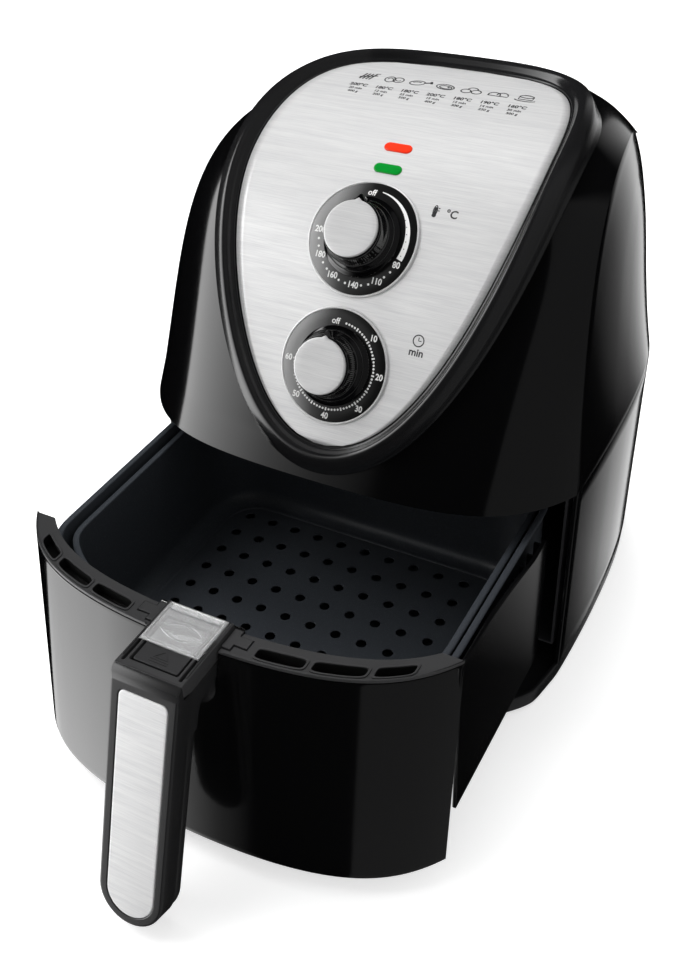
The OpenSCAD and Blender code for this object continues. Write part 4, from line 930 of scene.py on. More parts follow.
ZINC = metal("zinc_plated_steel", (0.62, 0.63, 0.62), 0.3, 420)
CONTROL_RESIN = moulded("control_resin", (0.05, 0.045, 0.04), 0.45)
NYLON = moulded("natural_nylon", (0.72, 0.7, 0.62), 0.4)
BELL_BRASS = metal("bell_brass", (0.72, 0.52, 0.24), 0.25, 260)
WIRE_SLEEVE = moulded("wire_sleeve", (0.32, 0.03, 0.02), 0.6)
dress(ZINC, "thermostat_shaft", "timer_shaft", "fan_nuts")
dress(CONTROL_RESIN, "thermostat", "timer", "door_switch", "thermal_fuse")
dress(BELL_BRASS, "timer_bell")
dress(NYLON, "terminal_block", "switch_lever")
dress(WIRE_SLEEVE, "wiring")

# --- Heating chamber, element and fans ----------------------------------------
# A drum of aluminised steel over the basket with a coiled element and a hot-air fan in
# it, a round wire guard below, and the motor with its cooling fan on a bracket above.

ALUMINISED = metal("aluminised_steel", (0.58, 0.58, 0.57), 0.38, 90, 0.3)
ELEMENT_SHEATH = metal("element_sheath", (0.2, 0.19, 0.18), 0.5, 500, 0.3)
MOTOR_STEEL = metal("motor_steel", (0.4, 0.4, 0.4), 0.35, 700)
GUARD_WIRE = metal("guard_wire", (0.66, 0.66, 0.65), 0.22, 300)
dress(ALUMINISED, "heat_chamber", "heat_shield", "bay_ceiling", "hot_air_fan", "motor_bracket", "cooling_fan")
dress(ELEMENT_SHEATH, "heating_element")
dress(GUARD_WIRE, "element_guard", "element_clips")
dress(MOTOR_STEEL, "motor", "motor_shaft")
dress(ZINC, "motor_screws", "chamber_screws", "base_screws")

# --- Base tray and feet -------------------------------------------------------
# A satin black tray closes the housing from below, with vents under the fan's air path,
# and stands on five rubber feet.

BASE_BLACK = moulded("base_black", (0.012, 0.012, 0.013), 0.26)
RUBBER = moulded("foot_rubber", (0.02, 0.02, 0.02), 0.75, 1500, 0.4)
BASE_FRONT_Y = -152.0
BASE_FRONT_HALF = 143.5
BASE_BOW = 50.0
BASE_FOOT_Z = 4.0
BASE_INSET = 0.5
BASE_WALL = 3.0
VENT_PITCH = 12
SCREW_HOLE_R = 4


def bowed(x, mid, fall, half):
    """y of a bowed edge at x: mid + fall (0.42 t^2 + 0.3 t^4 + 0.28 t^8), t = x / half."""
    t = np.asarray(x, float) / half
    return mid + fall * (0.42 * t**2 + 0.3 * t**4 + 0.28 * t**8)


def inset_loop(loop, d):
    """Closed outline moved by d to the left of its run, with mitred corners."""
    left = left_of(np.roll(loop, -1, 0) - loop)
    both = left + np.roll(left, 1, 0)
    return loop + d * both / np.maximum(0.5, (both * left).sum(1, keepdims=True))


def stacked(loop, profile):
    """A closed outline carried along a profile of (distance inwards, height), as rows."""
    return np.stack([lifted(inset_loop(loop, d), z) for d, z in profile])


def filled(loops, flip=1):
    """A flat face, as a part, inside the first of several rows of points and outside the
    others. A flip of -1 turns it over."""
    flat = [[Vector((x, y, 0)) for x, y, z in loop.tolist()] for loop in loops]
    return np.concatenate(loops), [tuple(t)[::flip] for t in tessellate_polygon(flat)]


def plate(loops, low, high, edge=0.4, arc_steps=3):
    """A flat solid between two heights from outlines: the outer one runs to the left and
    each hole to the right. Its edges are rounded to a radius."""
    a = np.linspace(0, math.pi / 2, arc_steps + 1)
    rise = [(0, low), (0, high)]
    if edge:
        foot = [(edge * (1 - math.sin(t)), low + edge * (1 - math.cos(t))) for t in a]
        top = [(edge * (1 - math.cos(t)), high - edge * (1 - math.sin(t))) for t in a]
        rise = [(edge + 0.2, low), *foot, *top, (edge + 0.2, high)]
    walls = [stacked(np.asarray(loop, float), rise) for loop in loops]
    ends = [filled([wall[row] for wall in walls], flip) for row, flip in ((0, -1), (-1, 1))]
    return joined([grid(wall, False, True) for wall in walls] + ends)


FACING_FRONT = [0, 2, 1]
FACING_SIDE = [2, 0, 1]


def standing(part, order):
    """A part with its axes put in another order: a plate that faces the front or a side."""
    return part[0][:, order], part[1]


def box_loop(x0, x1, y0, y1, corner=0.0, count=6):
    """A rectangle's outline running to the left, with round corners."""
    a = np.linspace(0, math.pi / 2, count if corner else 1)
    quarter = np.stack([np.cos(a), np.sin(a)], -1) * corner
    x0, x1, y0, y1 = x0 + corner, x1 - corner, y0 + corner, y1 - corner
    corners = []
    for turn, middle in enumerate(((x1, y1), (x0, y1), (x0, y0), (x1, y0))):
        c, w = math.cos(turn * math.pi / 2), math.sin(turn * math.pi / 2)
        corners.append(quarter @ np.array([[c, w], [-w, c]]) + middle)
    return np.concatenate(corners)


def softened(sharp, blur, count=241):
    """A closed plan walked at even steps, each point averaged with those within about
    blur millimetres, which rounds its corners."""
    closed = np.concatenate([sharp, sharp[:1]])
    length = length_along(closed)
    even = np.linspace(0, length[-1], count)[:-1]
    z = np.interp(even, length, closed[:, 0]) + 1j * np.interp(even, length, closed[:, 1])
    waves = np.fft.fftfreq(count - 1, length[-1] / (count - 1))
    soft = np.fft.ifft(np.fft.fft(z) * np.exp(-2 * (math.pi * waves * blur) ** 2))
    return np.stack([soft.real, soft.imag], -1)


base_x = np.linspace(-BASE_FRONT_HALF, BASE_FRONT_HALF, 97)
base_edge = np.array([[BODY_HALF - BASE_INSET, JAMB_Y, 0.0]])
base_side = both_sides(sweep_back(base_edge, np.zeros(1), rear_share, REAR_Y - BASE_INSET))[0, :, :2]
base_front = np.stack([base_x, bowed(base_x, BASE_FRONT_Y, BASE_BOW, BASE_FRONT_HALF)], -1)
base_line = softened(np.concatenate([base_front, base_side]), 4, 401)
vents = [box_loop(VENT_PITCH * i - 2, VENT_PITCH * i + 2, 16, 76, 1.5)[::-1] for i in range(-5, 6)]
screw_holes = [circle_loop(x, y, SCREW_HOLE_R)[::-1] for x in (-100, 100) for y in (-40, 70)]
tray_floor = plate([inset_loop(base_line, 1.4)] + vents + screw_holes, BASE_FOOT_Z, BASE_FOOT_Z + 4, 0.3)
tray_wall = plate([base_line, inset_loop(base_line, BASE_WALL)[::-1]], BASE_FOOT_Z, BASE_TOP_Z, 1.1, 5)
make_piece("base_tray_moulding", [tray_floor, tray_wall], BASE_BLACK, "housing", "gloss_black_plastic",
           "base_tray")
dress(RUBBER, "rubber_feet")

# --- Air outlet and cord gland ------------------------------------------------
# The hot air leaves through a grille of seven slots high on the back. The cord's gland is
# a round nozzle low on the back.

OUTLET_HALF = 47.6
OUTLET_Z = (186.4, 231.6)
SLOT_PITCH = 5.886
# Near-black plastic as painted shade: it fills places seen only in shadow, behind the outlet's slots and in
# the wells under the rim's slots
PAINTED_SHADE_BLACK = moulded("painted_shade_black", (0.003, 0.003, 0.003), 0.6)
slots = [box_loop(-OUTLET_HALF + 4, OUTLET_HALF - 4, z, z + 3.4, 1.4)[::-1]
         for z in OUTLET_Z[0] + 4 + SLOT_PITCH * np.arange(7)]
grille = plate([box_loop(-OUTLET_HALF, OUTLET_HALF, *OUTLET_Z, 4)] + slots, 0, 5.6, 0.5)
# A near-black sheet behind the grille: painted shade for the dark inside seen through its slots
painted_shade_loop = box_loop(-OUTLET_HALF + 2, OUTLET_HALF - 2, OUTLET_Z[0] + 2, OUTLET_Z[1] - 2)
for name, part, y, material in (
    ("air_outlet_grille", grille, REAR_Y - 4, BASE_BLACK),
    ("air_outlet_painted_shade", plate([painted_shade_loop], 0, 0.3, 0), REAR_Y - 0.15, PAINTED_SHADE_BLACK),
):
    make_piece(name, [moved(standing(part, FACING_FRONT), 0, y)], material, "housing", "satin_black_plastic",
               "air_outlet", 30)
dress(BASE_BLACK, "cord_gland")

# --- Drawer bay ---------------------------------------------------------------
# A satin black tub inside the housing, with a rail along each side that the drawer's
# cheeks run on.

dress(moulded("bay_black", (0.02, 0.02, 0.022), 0.42), "bay_liner", "bay_runners")

# --- Drawer front -------------------------------------------------------------
# One gloss black moulding: a bowed front that flares towards its foot, with a notch for
# the handle's arm, and two flat cheeks that run back into the bay.

DRAWER_OPEN = 139.5
RIM_Z = 158.0
FRONT_Y = -131.0
FRONT_LEAN = 23.0
FRONT_FLARE = 2.5
FRONT_FALL = 50.0
FRONT_HALF = 140.0
FRONT_FOOT_Z = 16.9
FRONT_TOP_Z = 155.6
NOTCH_HALF = 21.8
NOTCH_Z = 139.0
NOTCH_CORNER = 9.0
CHEEK_Y = (-85.0, 47.0)
CHEEK_FOOT_Z = 39.0
CHEEK_WALL = 2.6
RIB_X = 133.4
RIB_PITCH = 11.6


def make_pulled(name, parts, *finish, **looks):
    """Makes a piece from parts of the closed drawer where it stands, pulled out."""
    make_piece(name, [moved(joined(parts), 0, -DRAWER_OPEN)], *finish, **looks)


def foot_share(z):
    """Share of the way from the drawer's rim down to its foot at a height z."""
    return (RIM_Z - z) / (RIM_Z - FRONT_FOOT_Z)


def drawer_skin(side, z):
    """Drawer front at a height z and a place side from -2 to 2: it crosses the notch from
    -1 to 1, and the rest of the way to each side lies beyond."""
    t = foot_share(z)
    mid, half = FRONT_Y - FRONT_LEAN * t, FRONT_HALF + FRONT_FLARE * t
    beyond = np.clip(np.abs(side) - 1, 0, 1)
    x = NOTCH_HALF * np.minimum(np.abs(side), 1) + (half - NOTCH_HALF) * np.sin(beyond * math.pi / 2)
    x = np.sign(side) * x
    return np.stack(np.broadcast_arrays(x, bowed(x, mid, FRONT_FALL, half), z), -1)


def notch_floor(side):
    """Height of the notch's floor: level, with a round corner of 9 mm at each side."""
    corner = np.clip((np.abs(side) * NOTCH_HALF - (NOTCH_HALF - NOTCH_CORNER)) / NOTCH_CORNER, 0, 1)
    return NOTCH_Z + NOTCH_CORNER * (1 - np.sqrt(1 - corner**2))


beside = 1 + np.linspace(0, 1, 49)
inside = np.sin(np.linspace(-0.5, 0.5, 41) * math.pi)
columns = np.concatenate([-beside[::-1], inside[1:-1], beside])[None, :]
low_rows = np.linspace(0, 1, 41)[:, None]
top_z = np.where(np.abs(columns) < 1, notch_floor(columns), NOTCH_Z + NOTCH_CORNER)
lower_skin = drawer_skin(columns, FRONT_FOOT_Z + (top_z - FRONT_FOOT_Z) * low_rows)
high_z = np.linspace(NOTCH_Z + NOTCH_CORNER, FRONT_TOP_Z, 5)[:, None]
upper_skins = [drawer_skin(edge[None, :], high_z) for edge in (-beside[::-1], beside)]
skins = [grid(skin) for skin in (lower_skin, *upper_skins)]
make_pulled("drawer_front_moulding", skins, GLOSS_BLACK, "drawer", "gloss_black_plastic", "drawer_front",
            centre=(0, 0, 90), wall=(SHELL_WALL, 0.6))


def cheek_outline(top_front, top_rear):
    """Side view (y, z) of a cheek: its top edge bends down from front to rear heights."""
    front, rear = CHEEK_Y
    run = np.linspace(1, 0, 25)
    top = top_front + (top_rear - top_front) * np.clip((run - 0.3) / 0.55, 0, 1) ** 1.3
    foot = [(front, CHEEK_FOOT_Z), (rear, CHEEK_FOOT_Z), (rear, top[0] - 3)]
    return np.concatenate([foot, np.stack([front + (rear - 3 - front) * run, top], -1)])


cheeks = []
for side, tops in ((1, (155.2, 141.0)), (-1, (133.0, 131.0))):
    sheet = standing(plate([cheek_outline(*tops)], 0, CHEEK_WALL, 0.6), FACING_SIDE)
    cheeks.append(moved(sheet, FRONT_HALF - CHEEK_WALL if side > 0 else -FRONT_HALF, 0))
    rib_x = sorted((side * RIB_X, side * (FRONT_HALF - CHEEK_WALL + 0.1)))
    for y in CHEEK_Y[0] + 9 + RIB_PITCH * np.arange(11):
        cheeks.append(plate([box_loop(*rib_x, y, y + 1.6)], 120, min(tops) - 1, 0.3, 1))
make_pulled("drawer_cheeks", cheeks, GLOSS_BLACK, "drawer", "gloss_black_plastic", "drawer_front", 30)

# --- Drawer rim ---------------------------------------------------------------
# A satin black moulding clipped over the top of the front, in two halves beside the
# handle. Each has three slots with raised frames and a joint for the bracket's lug.

RIM_WIDTH = 17.0
RIM_HALF = FRONT_HALF - 0.2
RIM_PLATE_Z = (155.8, 157.2)
NECK_X, NECK_Y = 27.4, -127.4
BAR_X, BAR_FRONT_Y, BAR_REAR_Y = 35.4, -123.4, -115.6
SLOTS = ((40.5, 67.5), (71.5, 98.5), (102.5, 120.0))
SLOT_DEPTH = (3.0, 10.2)
RIM_BLACK = moulded("rim_black", (0.035, 0.035, 0.036), 0.34)


def rim_line(x, behind):
    """Points of the rim at x, a distance behind its front edge."""
    return np.stack(np.broadcast_arrays(x, bowed(x, FRONT_Y, FRONT_FALL, FRONT_HALF) + behind), -1)


def rim_strip(x, near, far):
    """Outline of a strip along the rim between two distances behind its front edge."""
    return np.concatenate([rim_line(x, near), rim_line(x[::-1], far)])


def slot_loop(x0, x1, b0, b1):
    """A slot with round ends that follows the rim: a superellipse of power 5 laid along
    it between two places across and two distances behind its edge. It runs to the right."""
    a = np.linspace(2 * math.pi, 0, 41)[:-1]
    across, deep = (np.sign(k) * np.abs(k) ** 0.4 for k in (np.cos(a), np.sin(a)))
    return rim_line((x0 + x1) / 2 + (x1 - x0) / 2 * across, (b0 + b1) / 2 + (b1 - b0) / 2 * deep)


def with_mirror(parts):
    """Joins parts of the right side with their mirror images on the left."""
    points, faces = joined(parts)
    return joined([(points, faces), (points * [-1, 1, 1], [f[::-1] for f in faces])])


rim_x = NOTCH_HALF + (RIM_HALF - NOTCH_HALF) * np.sin(np.linspace(0, 0.5, 65) * math.pi)
rim_end_y = rim_line(RIM_HALF, 1.2)[1]
back_line = rim_line(rim_x[rim_x > NECK_X + 0.5], RIM_WIDTH)
end_x = np.interp(rim_end_y, *back_line.T[::-1])
rim_outer = np.concatenate([
    rim_line(rim_x, 0), [(RIM_HALF, rim_end_y), (end_x, rim_end_y)],
    back_line[back_line[:, 1] < rim_end_y][::-1],
    [(NECK_X, rim_line(NECK_X, RIM_WIDTH)[1]), (NECK_X, BAR_REAR_Y), (BAR_X, BAR_REAR_Y)],
    [(BAR_X, BAR_FRONT_Y), (NECK_X, BAR_FRONT_Y), (NECK_X, NECK_Y), (NOTCH_HALF, NECK_Y)],
])
rim_parts = [plate([rim_outer] + [slot_loop(*x, *SLOT_DEPTH) for x in SLOTS], *RIM_PLATE_Z, 0.3)]
shade_well_parts = []
for x0, x1 in SLOTS:
    raised = slot_loop(x0 - 1.2, x1 + 1.2, 1.8, 11.4)[::-1]
    rim_parts.append(plate([raised, slot_loop(x0, x1, *SLOT_DEPTH)], 157.0, RIM_Z, 0.3, 2))
    # Under each slot a near-black well of walls and a floor: painted shade for the dark inside of the slot
    outside = slot_loop(x0 - 0.9, x1 + 0.9, 2.3, 11.0)[::-1]
    shade_well_parts.append(plate([outside, slot_loop(x0, x1, 3.05, 10.15)], 150, 157.1, 0))
    shade_well_parts.append(plate([outside], 149.2, 150.1, 0))
rim_parts.append(plate([rim_strip(rim_x[rim_x > 23], 0, 1.4)], 157.0, RIM_Z, 0.4, 2))
wall_x = np.concatenate([[41.0], rim_x[(rim_x > 42) & (rim_x < end_x)]])
rim_parts.append(plate([rim_strip(wall_x, 15, RIM_WIDTH)], 145.4, 155.9, 0.3))
for name, parts, material in (("moulding", rim_parts, RIM_BLACK), ("painted_shade_wells", shade_well_parts, PAINTED_SHADE_BLACK)):
    make_pulled("drawer_rim_" + name, [with_mirror(parts)], material, "drawer", "satin_black_plastic",
                "drawer_rim", 30)

# --- Pan and basket -----------------------------------------------------------
# Two tubs pressed from steel sheet with a dark non-stick coating. The basket hangs in
# the pan on its handle; its floor is pierced all over and its rim is rolled outwards.

SHEET = 1.2
TUB_FALL = 38
BASKET_FLOOR_Z = 51.0
HOLE_R = 3.5


def far_corners(half, far, corner, count):
    """The far end of a plan: its round right corner and then its round left corner."""
    a = np.linspace(0, math.pi / 2, count)
    right = np.stack([half - corner + corner * np.cos(a), far - corner + corner * np.sin(a)], -1)
    return np.concatenate([right, right[::-1] * [-1, 1]])


def tub_outline(mid, half, rear, corner):
    """Plan of a tub: a bowed front, straight sides and round rear corners, all softened."""
    x = np.linspace(-half, half, 97)
    front = np.stack([x, bowed(x, mid, TUB_FALL, half)], -1)
    return softened(np.concatenate([front, far_corners(half, rear, corner, 25)]), 7)


def fillet(d, z, r, count=8):
    """Profile of a tub's wall turning into its floor: a quarter circle of radius r."""
    a = np.linspace(0, math.pi / 2, count)
    return list(zip(d + r * (1 - np.cos(a)), z + r * (1 - np.sin(a))))


def coating():
    """Dark non-stick coating: fine specks, a soft sheen and an orange-peel relief."""
    material, tree = new_material("non_stick_coating", Roughness=0.38)
    specks = tone(tree, noise(tree, 1800, 3), (0.03, 0.034, 0.04), (0.085, 0.092, 0.104), 0.55, 0.75)
    set_surface(tree, Base_Color=specks)
    emboss(tree, noise(tree, 500), 0.2, 0.0001)
    return material


COATING = coating()
PAN_PROFILE = [(-3, 143.7), (-2.9, 144.4), (-2.4, 144.85), (-1.6, 145), (-0.2, 145), (0.6, 144.85),
               (1.05, 144.4), (1.2, 143.6), (1.2, 100), *fillet(1.2, 40.2, 9), (20, 40.2)]
BASKET_PROFILE = [(0.1, 138.0), (0, 138.8), (0.25, 139.5), (0.8, 139.9), (1.5, 140), (3.4, 140),
                  (3.8, 139.9), (4.1, 139.3), (4.2, 138.4), (4.2, 110), (4.2, 75), *fillet(4.2, 52.2, 10),
                  (17, 52.2)]
pan_line = tub_outline(FRONT_Y + 15.5, 129, 108.15, 42)
make_pulled("coated_pan", [capped(stacked(pan_line, PAN_PROFILE), low=False)], COATING, "drawer",
            "dark_coating", "pan", 50, (0, -DRAWER_OPEN, 90), (SHEET, 0, False))
basket_line = tub_outline(FRONT_Y + 20.5, 125, 104, 38)
make_pulled("basket_wall", [grid(stacked(basket_line, BASKET_PROFILE), False, True)], COATING, "basket_unit",
            "dark_coating", "basket", 50, (0, -DRAWER_OPEN, 100), (SHEET, 0, False))
holes = [circle_loop(19 * i, 20 * j - 4, HOLE_R, 20)[::-1] for i in range(-5, 6) for j in range(-3, 5)]
floor_parts = [plate([inset_loop(basket_line, 16.5)] + holes, BASKET_FLOOR_Z - 0.05, 52.15, 0.3, 2)]
floor_parts += [plate([box_loop(x - 4, x + 4, y - 4, y + 4, 1)], 40.55, BASKET_FLOOR_Z + 0.2, 0.3, 1)
                for x in (-85.5, 85.5) for y in (-60, 60)]
make_pulled("basket_floor", floor_parts, COATING, "basket_unit", "dark_coating", "basket", 30)

# --- Basket bracket -----------------------------------------------------------
# A polished steel plate joins the handle to the basket. Its lugs lie in the rim's joints
# under a satin black cap of the same plastic as the rim.

ARM_HALF = 21.0
POLISHED_STEEL = metal("polished_steel", (0.74, 0.74, 0.73), 0.12, 120, 0.05)
lug = np.array([(ARM_HALF + 0.15, -127), (27, -127), (27, -123), (35, -123), (35, -116), (27, -116),
                (27, -112.2), (ARM_HALF + 0.15, -112.2)])
lug = inset_loop(lug, 0.25)
lugs = [plate([loop], 156, RIM_Z, 0.35) for loop in (lug, lug[::-1] * [-1, 1])]
make_pulled("bracket_lug_caps", lugs, RIM_BLACK, "basket_unit", "polished_steel", "basket_bracket", 30)
tongue = np.array([(18, 81), (21, 84), (21, 143), (24, 144), (27, 144.6), (27, 158)])
tongue = np.concatenate([tongue[::-1] * [-1, 1], tongue])
post = standing(plate([circle_loop(0, 0, 3.5)], 0, 3.4, 0.2, 1), FACING_FRONT)
bracket_parts = [moved(standing(plate([tongue], 0, 1.4, 0.3), FACING_FRONT), 0, -112)]
bracket_parts += [moved(post, x, -110.8, z) for x in (-12, 12) for z in (91, 121)]
make_pulled("steel_bracket", bracket_parts, POLISHED_STEEL, "basket_unit", "polished_steel",
            "basket_bracket", 30)

# --- Handle -------------------------------------------------------------------
# A black moulding in two shells, front and back, screwed together: a flat arm over the
# drawer's rim and a grip that leans outwards, with a strip of brushed steel in its face.

GRIP_TOP_Y, GRIP_TOP_Z = -166.0, 157.2
GRIP_LEAN = math.radians(19.5)
GRIP_LENGTH = 154.0
NECK_FOOT_Z = 118.5
NECK_TOP_Z = 138.6
ARM_REAR = -112.2
ARM_SPLIT_Z = 150.4
WELL = (-15.2, 15.2, -157.2, -122.8)
HANDLE_BLACK = moulded("handle_black", (0.014, 0.014, 0.0145), 0.26, 3000, 0.08)
# Pairs of (inset, depth) for the edges of the shells, the recess and the inlay in it
SHELL_RISE = [(1.5, 0.02), (1.2, 0.03), (0.65, 0.2), (0.25, 0.55), (0.05, 1.0), (0, 1.6), (0, 12.9),
              (0.2, 13.4), (0.6, 13.64)]
BACK_RISE = [(1.0, 13.94), (0.4, 14.1), (0.1, 14.5), (0, 15.0), (0, 18.4), (0.5, 20.0), (1.6, 21.2),
             (3.2, 21.85), (5, 22)]
RECESS_RISE = [(-0.3, 0.02), (0, 0.2), (0, 1.3)]
INLAY_RISE = [(0.9, 0.1), (0.4, 0.12), (0.12, 0.25), (0, 0.45), (0, 0.8), (0.05, 1.1)]


def grip_plan(half, top, bottom, corner=0.0):
    """Outline of the grip's face: round corners at its top and a half circle at its foot."""
    a = np.linspace(math.pi, 2 * math.pi, 33)
    foot = np.stack([half * np.cos(a), bottom + half + half * np.sin(a)], -1)
    head = far_corners(half, top, corner, 8) if corner else [(half, top), (-half, top)]
    return np.concatenate([foot, head])


def on_grip(depth, along_grip):
    """(y, z) of a place in the leaning grip, from its depth and its place along it."""
    c, w = math.cos(GRIP_LEAN), math.sin(GRIP_LEAN)
    return np.stack([GRIP_TOP_Y + depth * c + along_grip * w, GRIP_TOP_Z - depth * w + along_grip * c], -1)


def in_grip(part):
    """Puts a part with (across, along, depth) axes into the leaning grip."""
    x, along_grip, depth = part[0].T
    return np.column_stack([x, on_grip(depth, along_grip)]), part[1]


def arm_profile(rear, lift=0.0):
    """Side view (y, z) of the arm, cut off at a rear y, with the neck under it: an arch
    from the drawer's front, whose foot is raised by a lift, to the back of the grip."""
    foot_z = NECK_FOOT_Z + lift
    foot_y, top_y = FRONT_Y - 0.7 - FRONT_LEAN * foot_share(np.array([foot_z, NECK_TOP_Z]))
    arch_under = bezier(on_grip(21.6, -27), (-150.5, 133.0 + lift / 2), (-141.5, 131.0 + lift),
                        (foot_y, foot_z), np.linspace(0, 1, 15))
    return np.concatenate([
        [(-161.2, ARM_SPLIT_Z + 0.3), (-163.6, ARM_SPLIT_Z + 0.2)],
        [on_grip(1.4, -10.5), on_grip(13.5, -30), on_grip(21.6, -30)], arch_under,
        [(top_y, NECK_TOP_Z), (-133.6, 140.0), (-131.4, 141.2), (-130.8, 145.7), (rear, 145.7)],
        [(rear, ARM_SPLIT_Z + 0.3)],
    ])


def arm_side(sign):
    """One side of the arm, from near its middle out to its side, where the neck's foot
    rounds up by 16 (1 - (1 - c^2)^0.5) and the long edges are rounded to 0.9 mm."""
    x = np.concatenate([np.linspace(5.8, 12, 5), np.linspace(13, 19.8, 13), [20.1, 20.55, 20.9, 20.96]])
    corner = np.clip((x - 5) / 16, 0, 0.995)
    lifts = 16 * (1 - np.sqrt(1 - corner**2))
    insets = np.interp(x, [20.1, 20.55, 20.9, 21.0], [0, 0.12, 0.5, 0.9])
    return capped(np.stack([np.insert(inset_loop(arm_profile(ARM_REAR, lift), d), 0, sign * across, 1)
                            for across, lift, d in zip(x, lifts, insets)]))


shell_wall = stacked(grip_plan(ARM_HALF, -2.5, -GRIP_LENGTH), SHELL_RISE)
recess_wall = stacked(grip_plan(15.9, -7.6, -GRIP_LENGTH + 5.2, 4.2), RECESS_RISE)
grip_face = filled([shell_wall[0], recess_wall[0]])
grip_shell = in_grip(joined([capped(shell_wall, low=False), capped(recess_wall, low=False), grip_face]))
arm_middle = standing(plate([arm_profile(-125.2)], -6, 6, 0), FACING_SIDE)
brow = np.array([(-161.0, 161.1), (-162.4, 161.0), (-163.3, 160.5), (-166.0, 157.9), (-166.3, 157.3),
                 on_grip(0.1, -3.4), on_grip(1.2, -12), (-161.0, ARM_SPLIT_Z)])
arm_brow = standing(plate([brow], -ARM_HALF + 0.02, ARM_HALF - 0.02, 0.8), FACING_SIDE)
make_pulled("handle_front_shell", [grip_shell, arm_side(1), arm_side(-1), arm_middle, arm_brow], HANDLE_BLACK,
            "basket_unit", "gloss_black_plastic", "handle_shell", 30)
grooves = [box_loop(*x, -159, -113.2, 0.5)[::-1] for x in ((17.0, 18.8), (-18.8, -17.0))]
arm_loops = [box_loop(-ARM_HALF, ARM_HALF, -162.4, ARM_REAR, 0.6), box_loop(*WELL, 1.2)[::-1]] + grooves
# The arm's top takes the lighter rim plastic rather than the shell's darker one: a painted sheen for its
# upward face, though it is part of the front shell's moulding
painted_sheen_top_parts = [plate(arm_loops, ARM_SPLIT_Z, 161.2, 0.7)]
painted_sheen_top_parts += [plate([box_loop(*x, -156, -128, 0.3)], 160.8, 162.0, 0.3, 2)
              for x in ((19.3, 20.2), (-20.2, -19.3))]
make_pulled("handle_arm_top", painted_sheen_top_parts, RIM_BLACK, "basket_unit", "gloss_black_plastic", "handle_shell", 30)

handle_back = capped(stacked(grip_plan(ARM_HALF - 0.6, -28, -GRIP_LENGTH + 0.8), BACK_RISE))
make_pulled("handle_back_shell", [in_grip(handle_back)], HANDLE_BLACK, "basket_unit", "gloss_black_plastic",
            "handle_back", 35)
dress(ZINC, "handle_screws", "drawer_screws", "button_spring", "latch_hook", "latch_strike")
inlay = capped(stacked(grip_plan(15.45, -8, -GRIP_LENGTH + 5.6, 4), INLAY_RISE))
make_pulled("handle_steel_inlay", [in_grip(inlay)], brushed_steel("inlay_steel", 0, 0.84), "basket_unit",
            "brushed_steel", "handle_inlay", 35)

# --- Release button -----------------------------------------------------------
# A satin black push button in a well in the arm, embossed with a triangle over two bars.
# It stands on a spring and moves the hook that holds the basket in the drawer.

BUTTON_HALF = 13.9
BUTTON_Y = (-155.9, -124.1)
BUTTON_Z = (155.7, 160.7)
MARK_RISE = 0.3
button_marks = [stroke([(-4.2, -150.2), (0, -145.2), (4.2, -150.2)], 0.9, True, MARK_RISE)]
button_marks += [stroke([(-5.6, y), (5.6, y)], 0.7, False, MARK_RISE) for y in (-153.2, -151.6)]
button = plate([box_loop(-BUTTON_HALF, BUTTON_HALF, *BUTTON_Y, 1.0)], *BUTTON_Z, 0.5)
make_pulled("release_button_cap", [button, moved(joined(button_marks), 0, 0, BUTTON_Z[1])],
            moulded("button_black", (0.028, 0.028, 0.029), 0.32), "release_button", "satin_black_plastic",
            "release_button", 30)

# --- Button guard -------------------------------------------------------------
# A clear plastic slide over the arm that covers the button. Its sides hook into grooves
# along the arm, and its top has a raised triangle and a lens-shaped dip for the thumb.

GUARD_HALF = 18.55
GUARD_Y = (-143.4, -113.4)
GUARD_TOP_Z = 162.3
GUARD_CLEAR_Z = 161.32


def guard_relief(x, y):
    """Height added to the guard's top: a dip of 0.5 (1 - r^2) in a lens 28 mm wide and
    11 long, a ridge of 0.7 mm, a cosine across 1.6 mm, round it and 0.7 mm along each edge."""
    bend = np.clip(1 - (x / 14.2) ** 2, 0, 1)
    half = 5.6 * bend + 0.01
    from_middle = np.abs(y - (GUARD_Y[0] + 12.5))
    dip = -0.5 * np.clip(1 - (from_middle / half) ** 2, 0, 1) * bend
    ridge = 0.35 * (1 + np.cos(math.pi * np.clip((from_middle - half) / 0.8, -1, 1))) * (np.abs(x) < 14.2)
    from_edge = np.minimum(np.minimum(y - GUARD_Y[0], GUARD_Y[1] - y), GUARD_HALF - 0.4 - np.abs(x))
    edge_ridge = 0.35 * (1 + np.cos(math.pi * np.clip((from_edge - 1.5) / 0.9, -1, 1)))
    return dip + ridge * bend + edge_ridge


def clear_plastic():
    """Clear moulded plastic: flow marks in its gloss and relief, and a diffuse white that is a painted
    reflection of light from above.
    """
    material, tree = new_material("clear_plastic", Base_Color=(0.97, 0.975, 0.98, 1),
                                  Transmission_Weight=0.8, IOR=1.49)
    flow = noise(tree, 45)
    set_surface(tree, Roughness=between(tree, flow, 0.06, 0.13))
    emboss(tree, flow, 0.05, 0.0002)
    return material


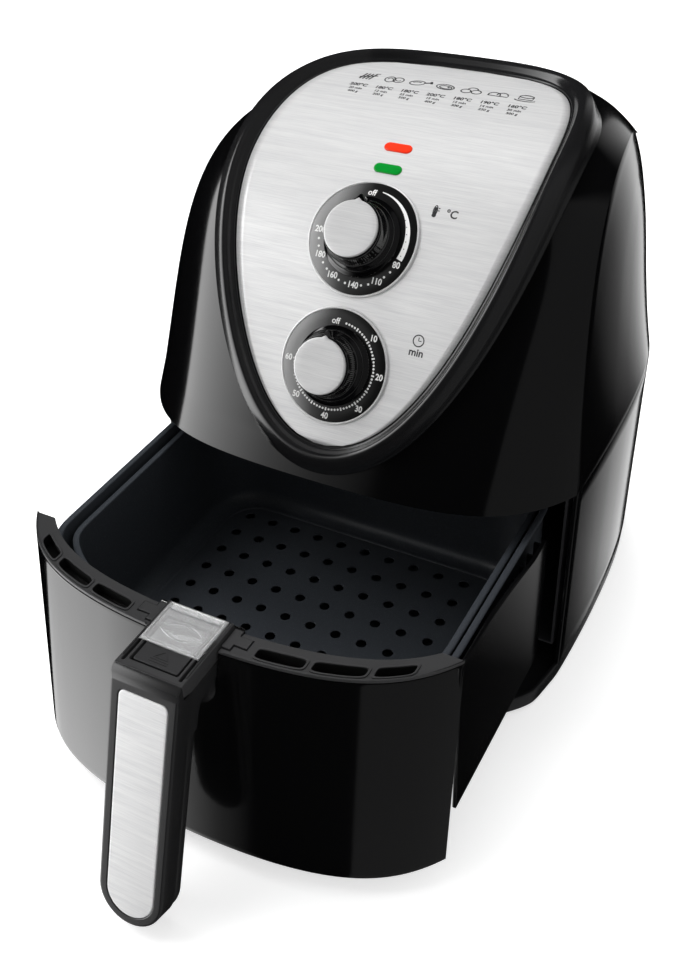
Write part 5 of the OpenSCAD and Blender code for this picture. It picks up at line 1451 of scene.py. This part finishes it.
skirt_out = np.array([(17.4, 159.0), (18.4, 159.0), (18.55, 159.2), (18.55, 161.7), (18.45, 162.1),
                      (18.15, 162.3)])
skirt_in = np.array([(17.25, 159.2), (17.25, 161.2), (17.0, 161.45), (16.6, 161.5)])
top_line = np.stack([np.linspace(17.9, -17.9, 121), np.full(121, GUARD_TOP_Z)], -1)
under_line = np.stack([np.linspace(-16.4, 16.4, 7), np.full(7, 161.5)], -1)
guard_profile = np.concatenate([
    skirt_out, top_line, skirt_out[::-1] * [-1, 1], skirt_in * [-1, 1], under_line, skirt_in[::-1],
])
edge_steps = np.array([0, 0.15, 0.45])
guard_y = np.concatenate([GUARD_Y[0] + edge_steps, np.linspace(GUARD_Y[0] + 0.8, GUARD_Y[1] - 0.8, 101),
                          GUARD_Y[1] - edge_steps[::-1]])
from_end = np.minimum(guard_y - GUARD_Y[0], GUARD_Y[1] - guard_y)
draw_in = np.interp(from_end, [0, 0.15, 0.45, 0.8], [0.35, 0.12, 0.02, 0])
guard_x, guard_z = guard_profile.T
guard_rows = np.stack(np.broadcast_arrays(guard_x, guard_y[:, None], guard_z), -1)
on_top = guard_z > GUARD_TOP_Z - 0.01
over_arm = guard_y < GUARD_Y[0] + 7.5
guard_rows[over_arm, :, 2] = np.maximum(guard_rows[over_arm, :, 2], GUARD_CLEAR_Z)
top_x, top_y = guard_rows[:, on_top, 0], guard_rows[:, on_top, 1]
guard_rows[:, on_top, 2] += guard_relief(top_x, top_y) - draw_in[:, None]
CLEAR_PLASTIC = clear_plastic()
ledge = plate([box_loop(-15.5, 15.5, GUARD_Y[1] - 5.4, GUARD_Y[1] - 3.0, 0.8)], 162.2, 163.2, 0.4)
make_pulled("clear_guard", [capped(guard_rows), ledge], CLEAR_PLASTIC, "button_guard", "clear_plastic",
            "button_guard", 35)
guard_mark = stroke(np.array([(-3.2, 20.4), (0, 24.4), (3.2, 20.4)]) + [0, GUARD_Y[0]], 0.7, True, MARK_RISE)
make_pulled("clear_guard_mark", [moved(guard_mark, 0, 0, GUARD_TOP_Z - 0.02)], CLEAR_PLASTIC, "button_guard",
            "clear_plastic", "button_guard", crisp=None)
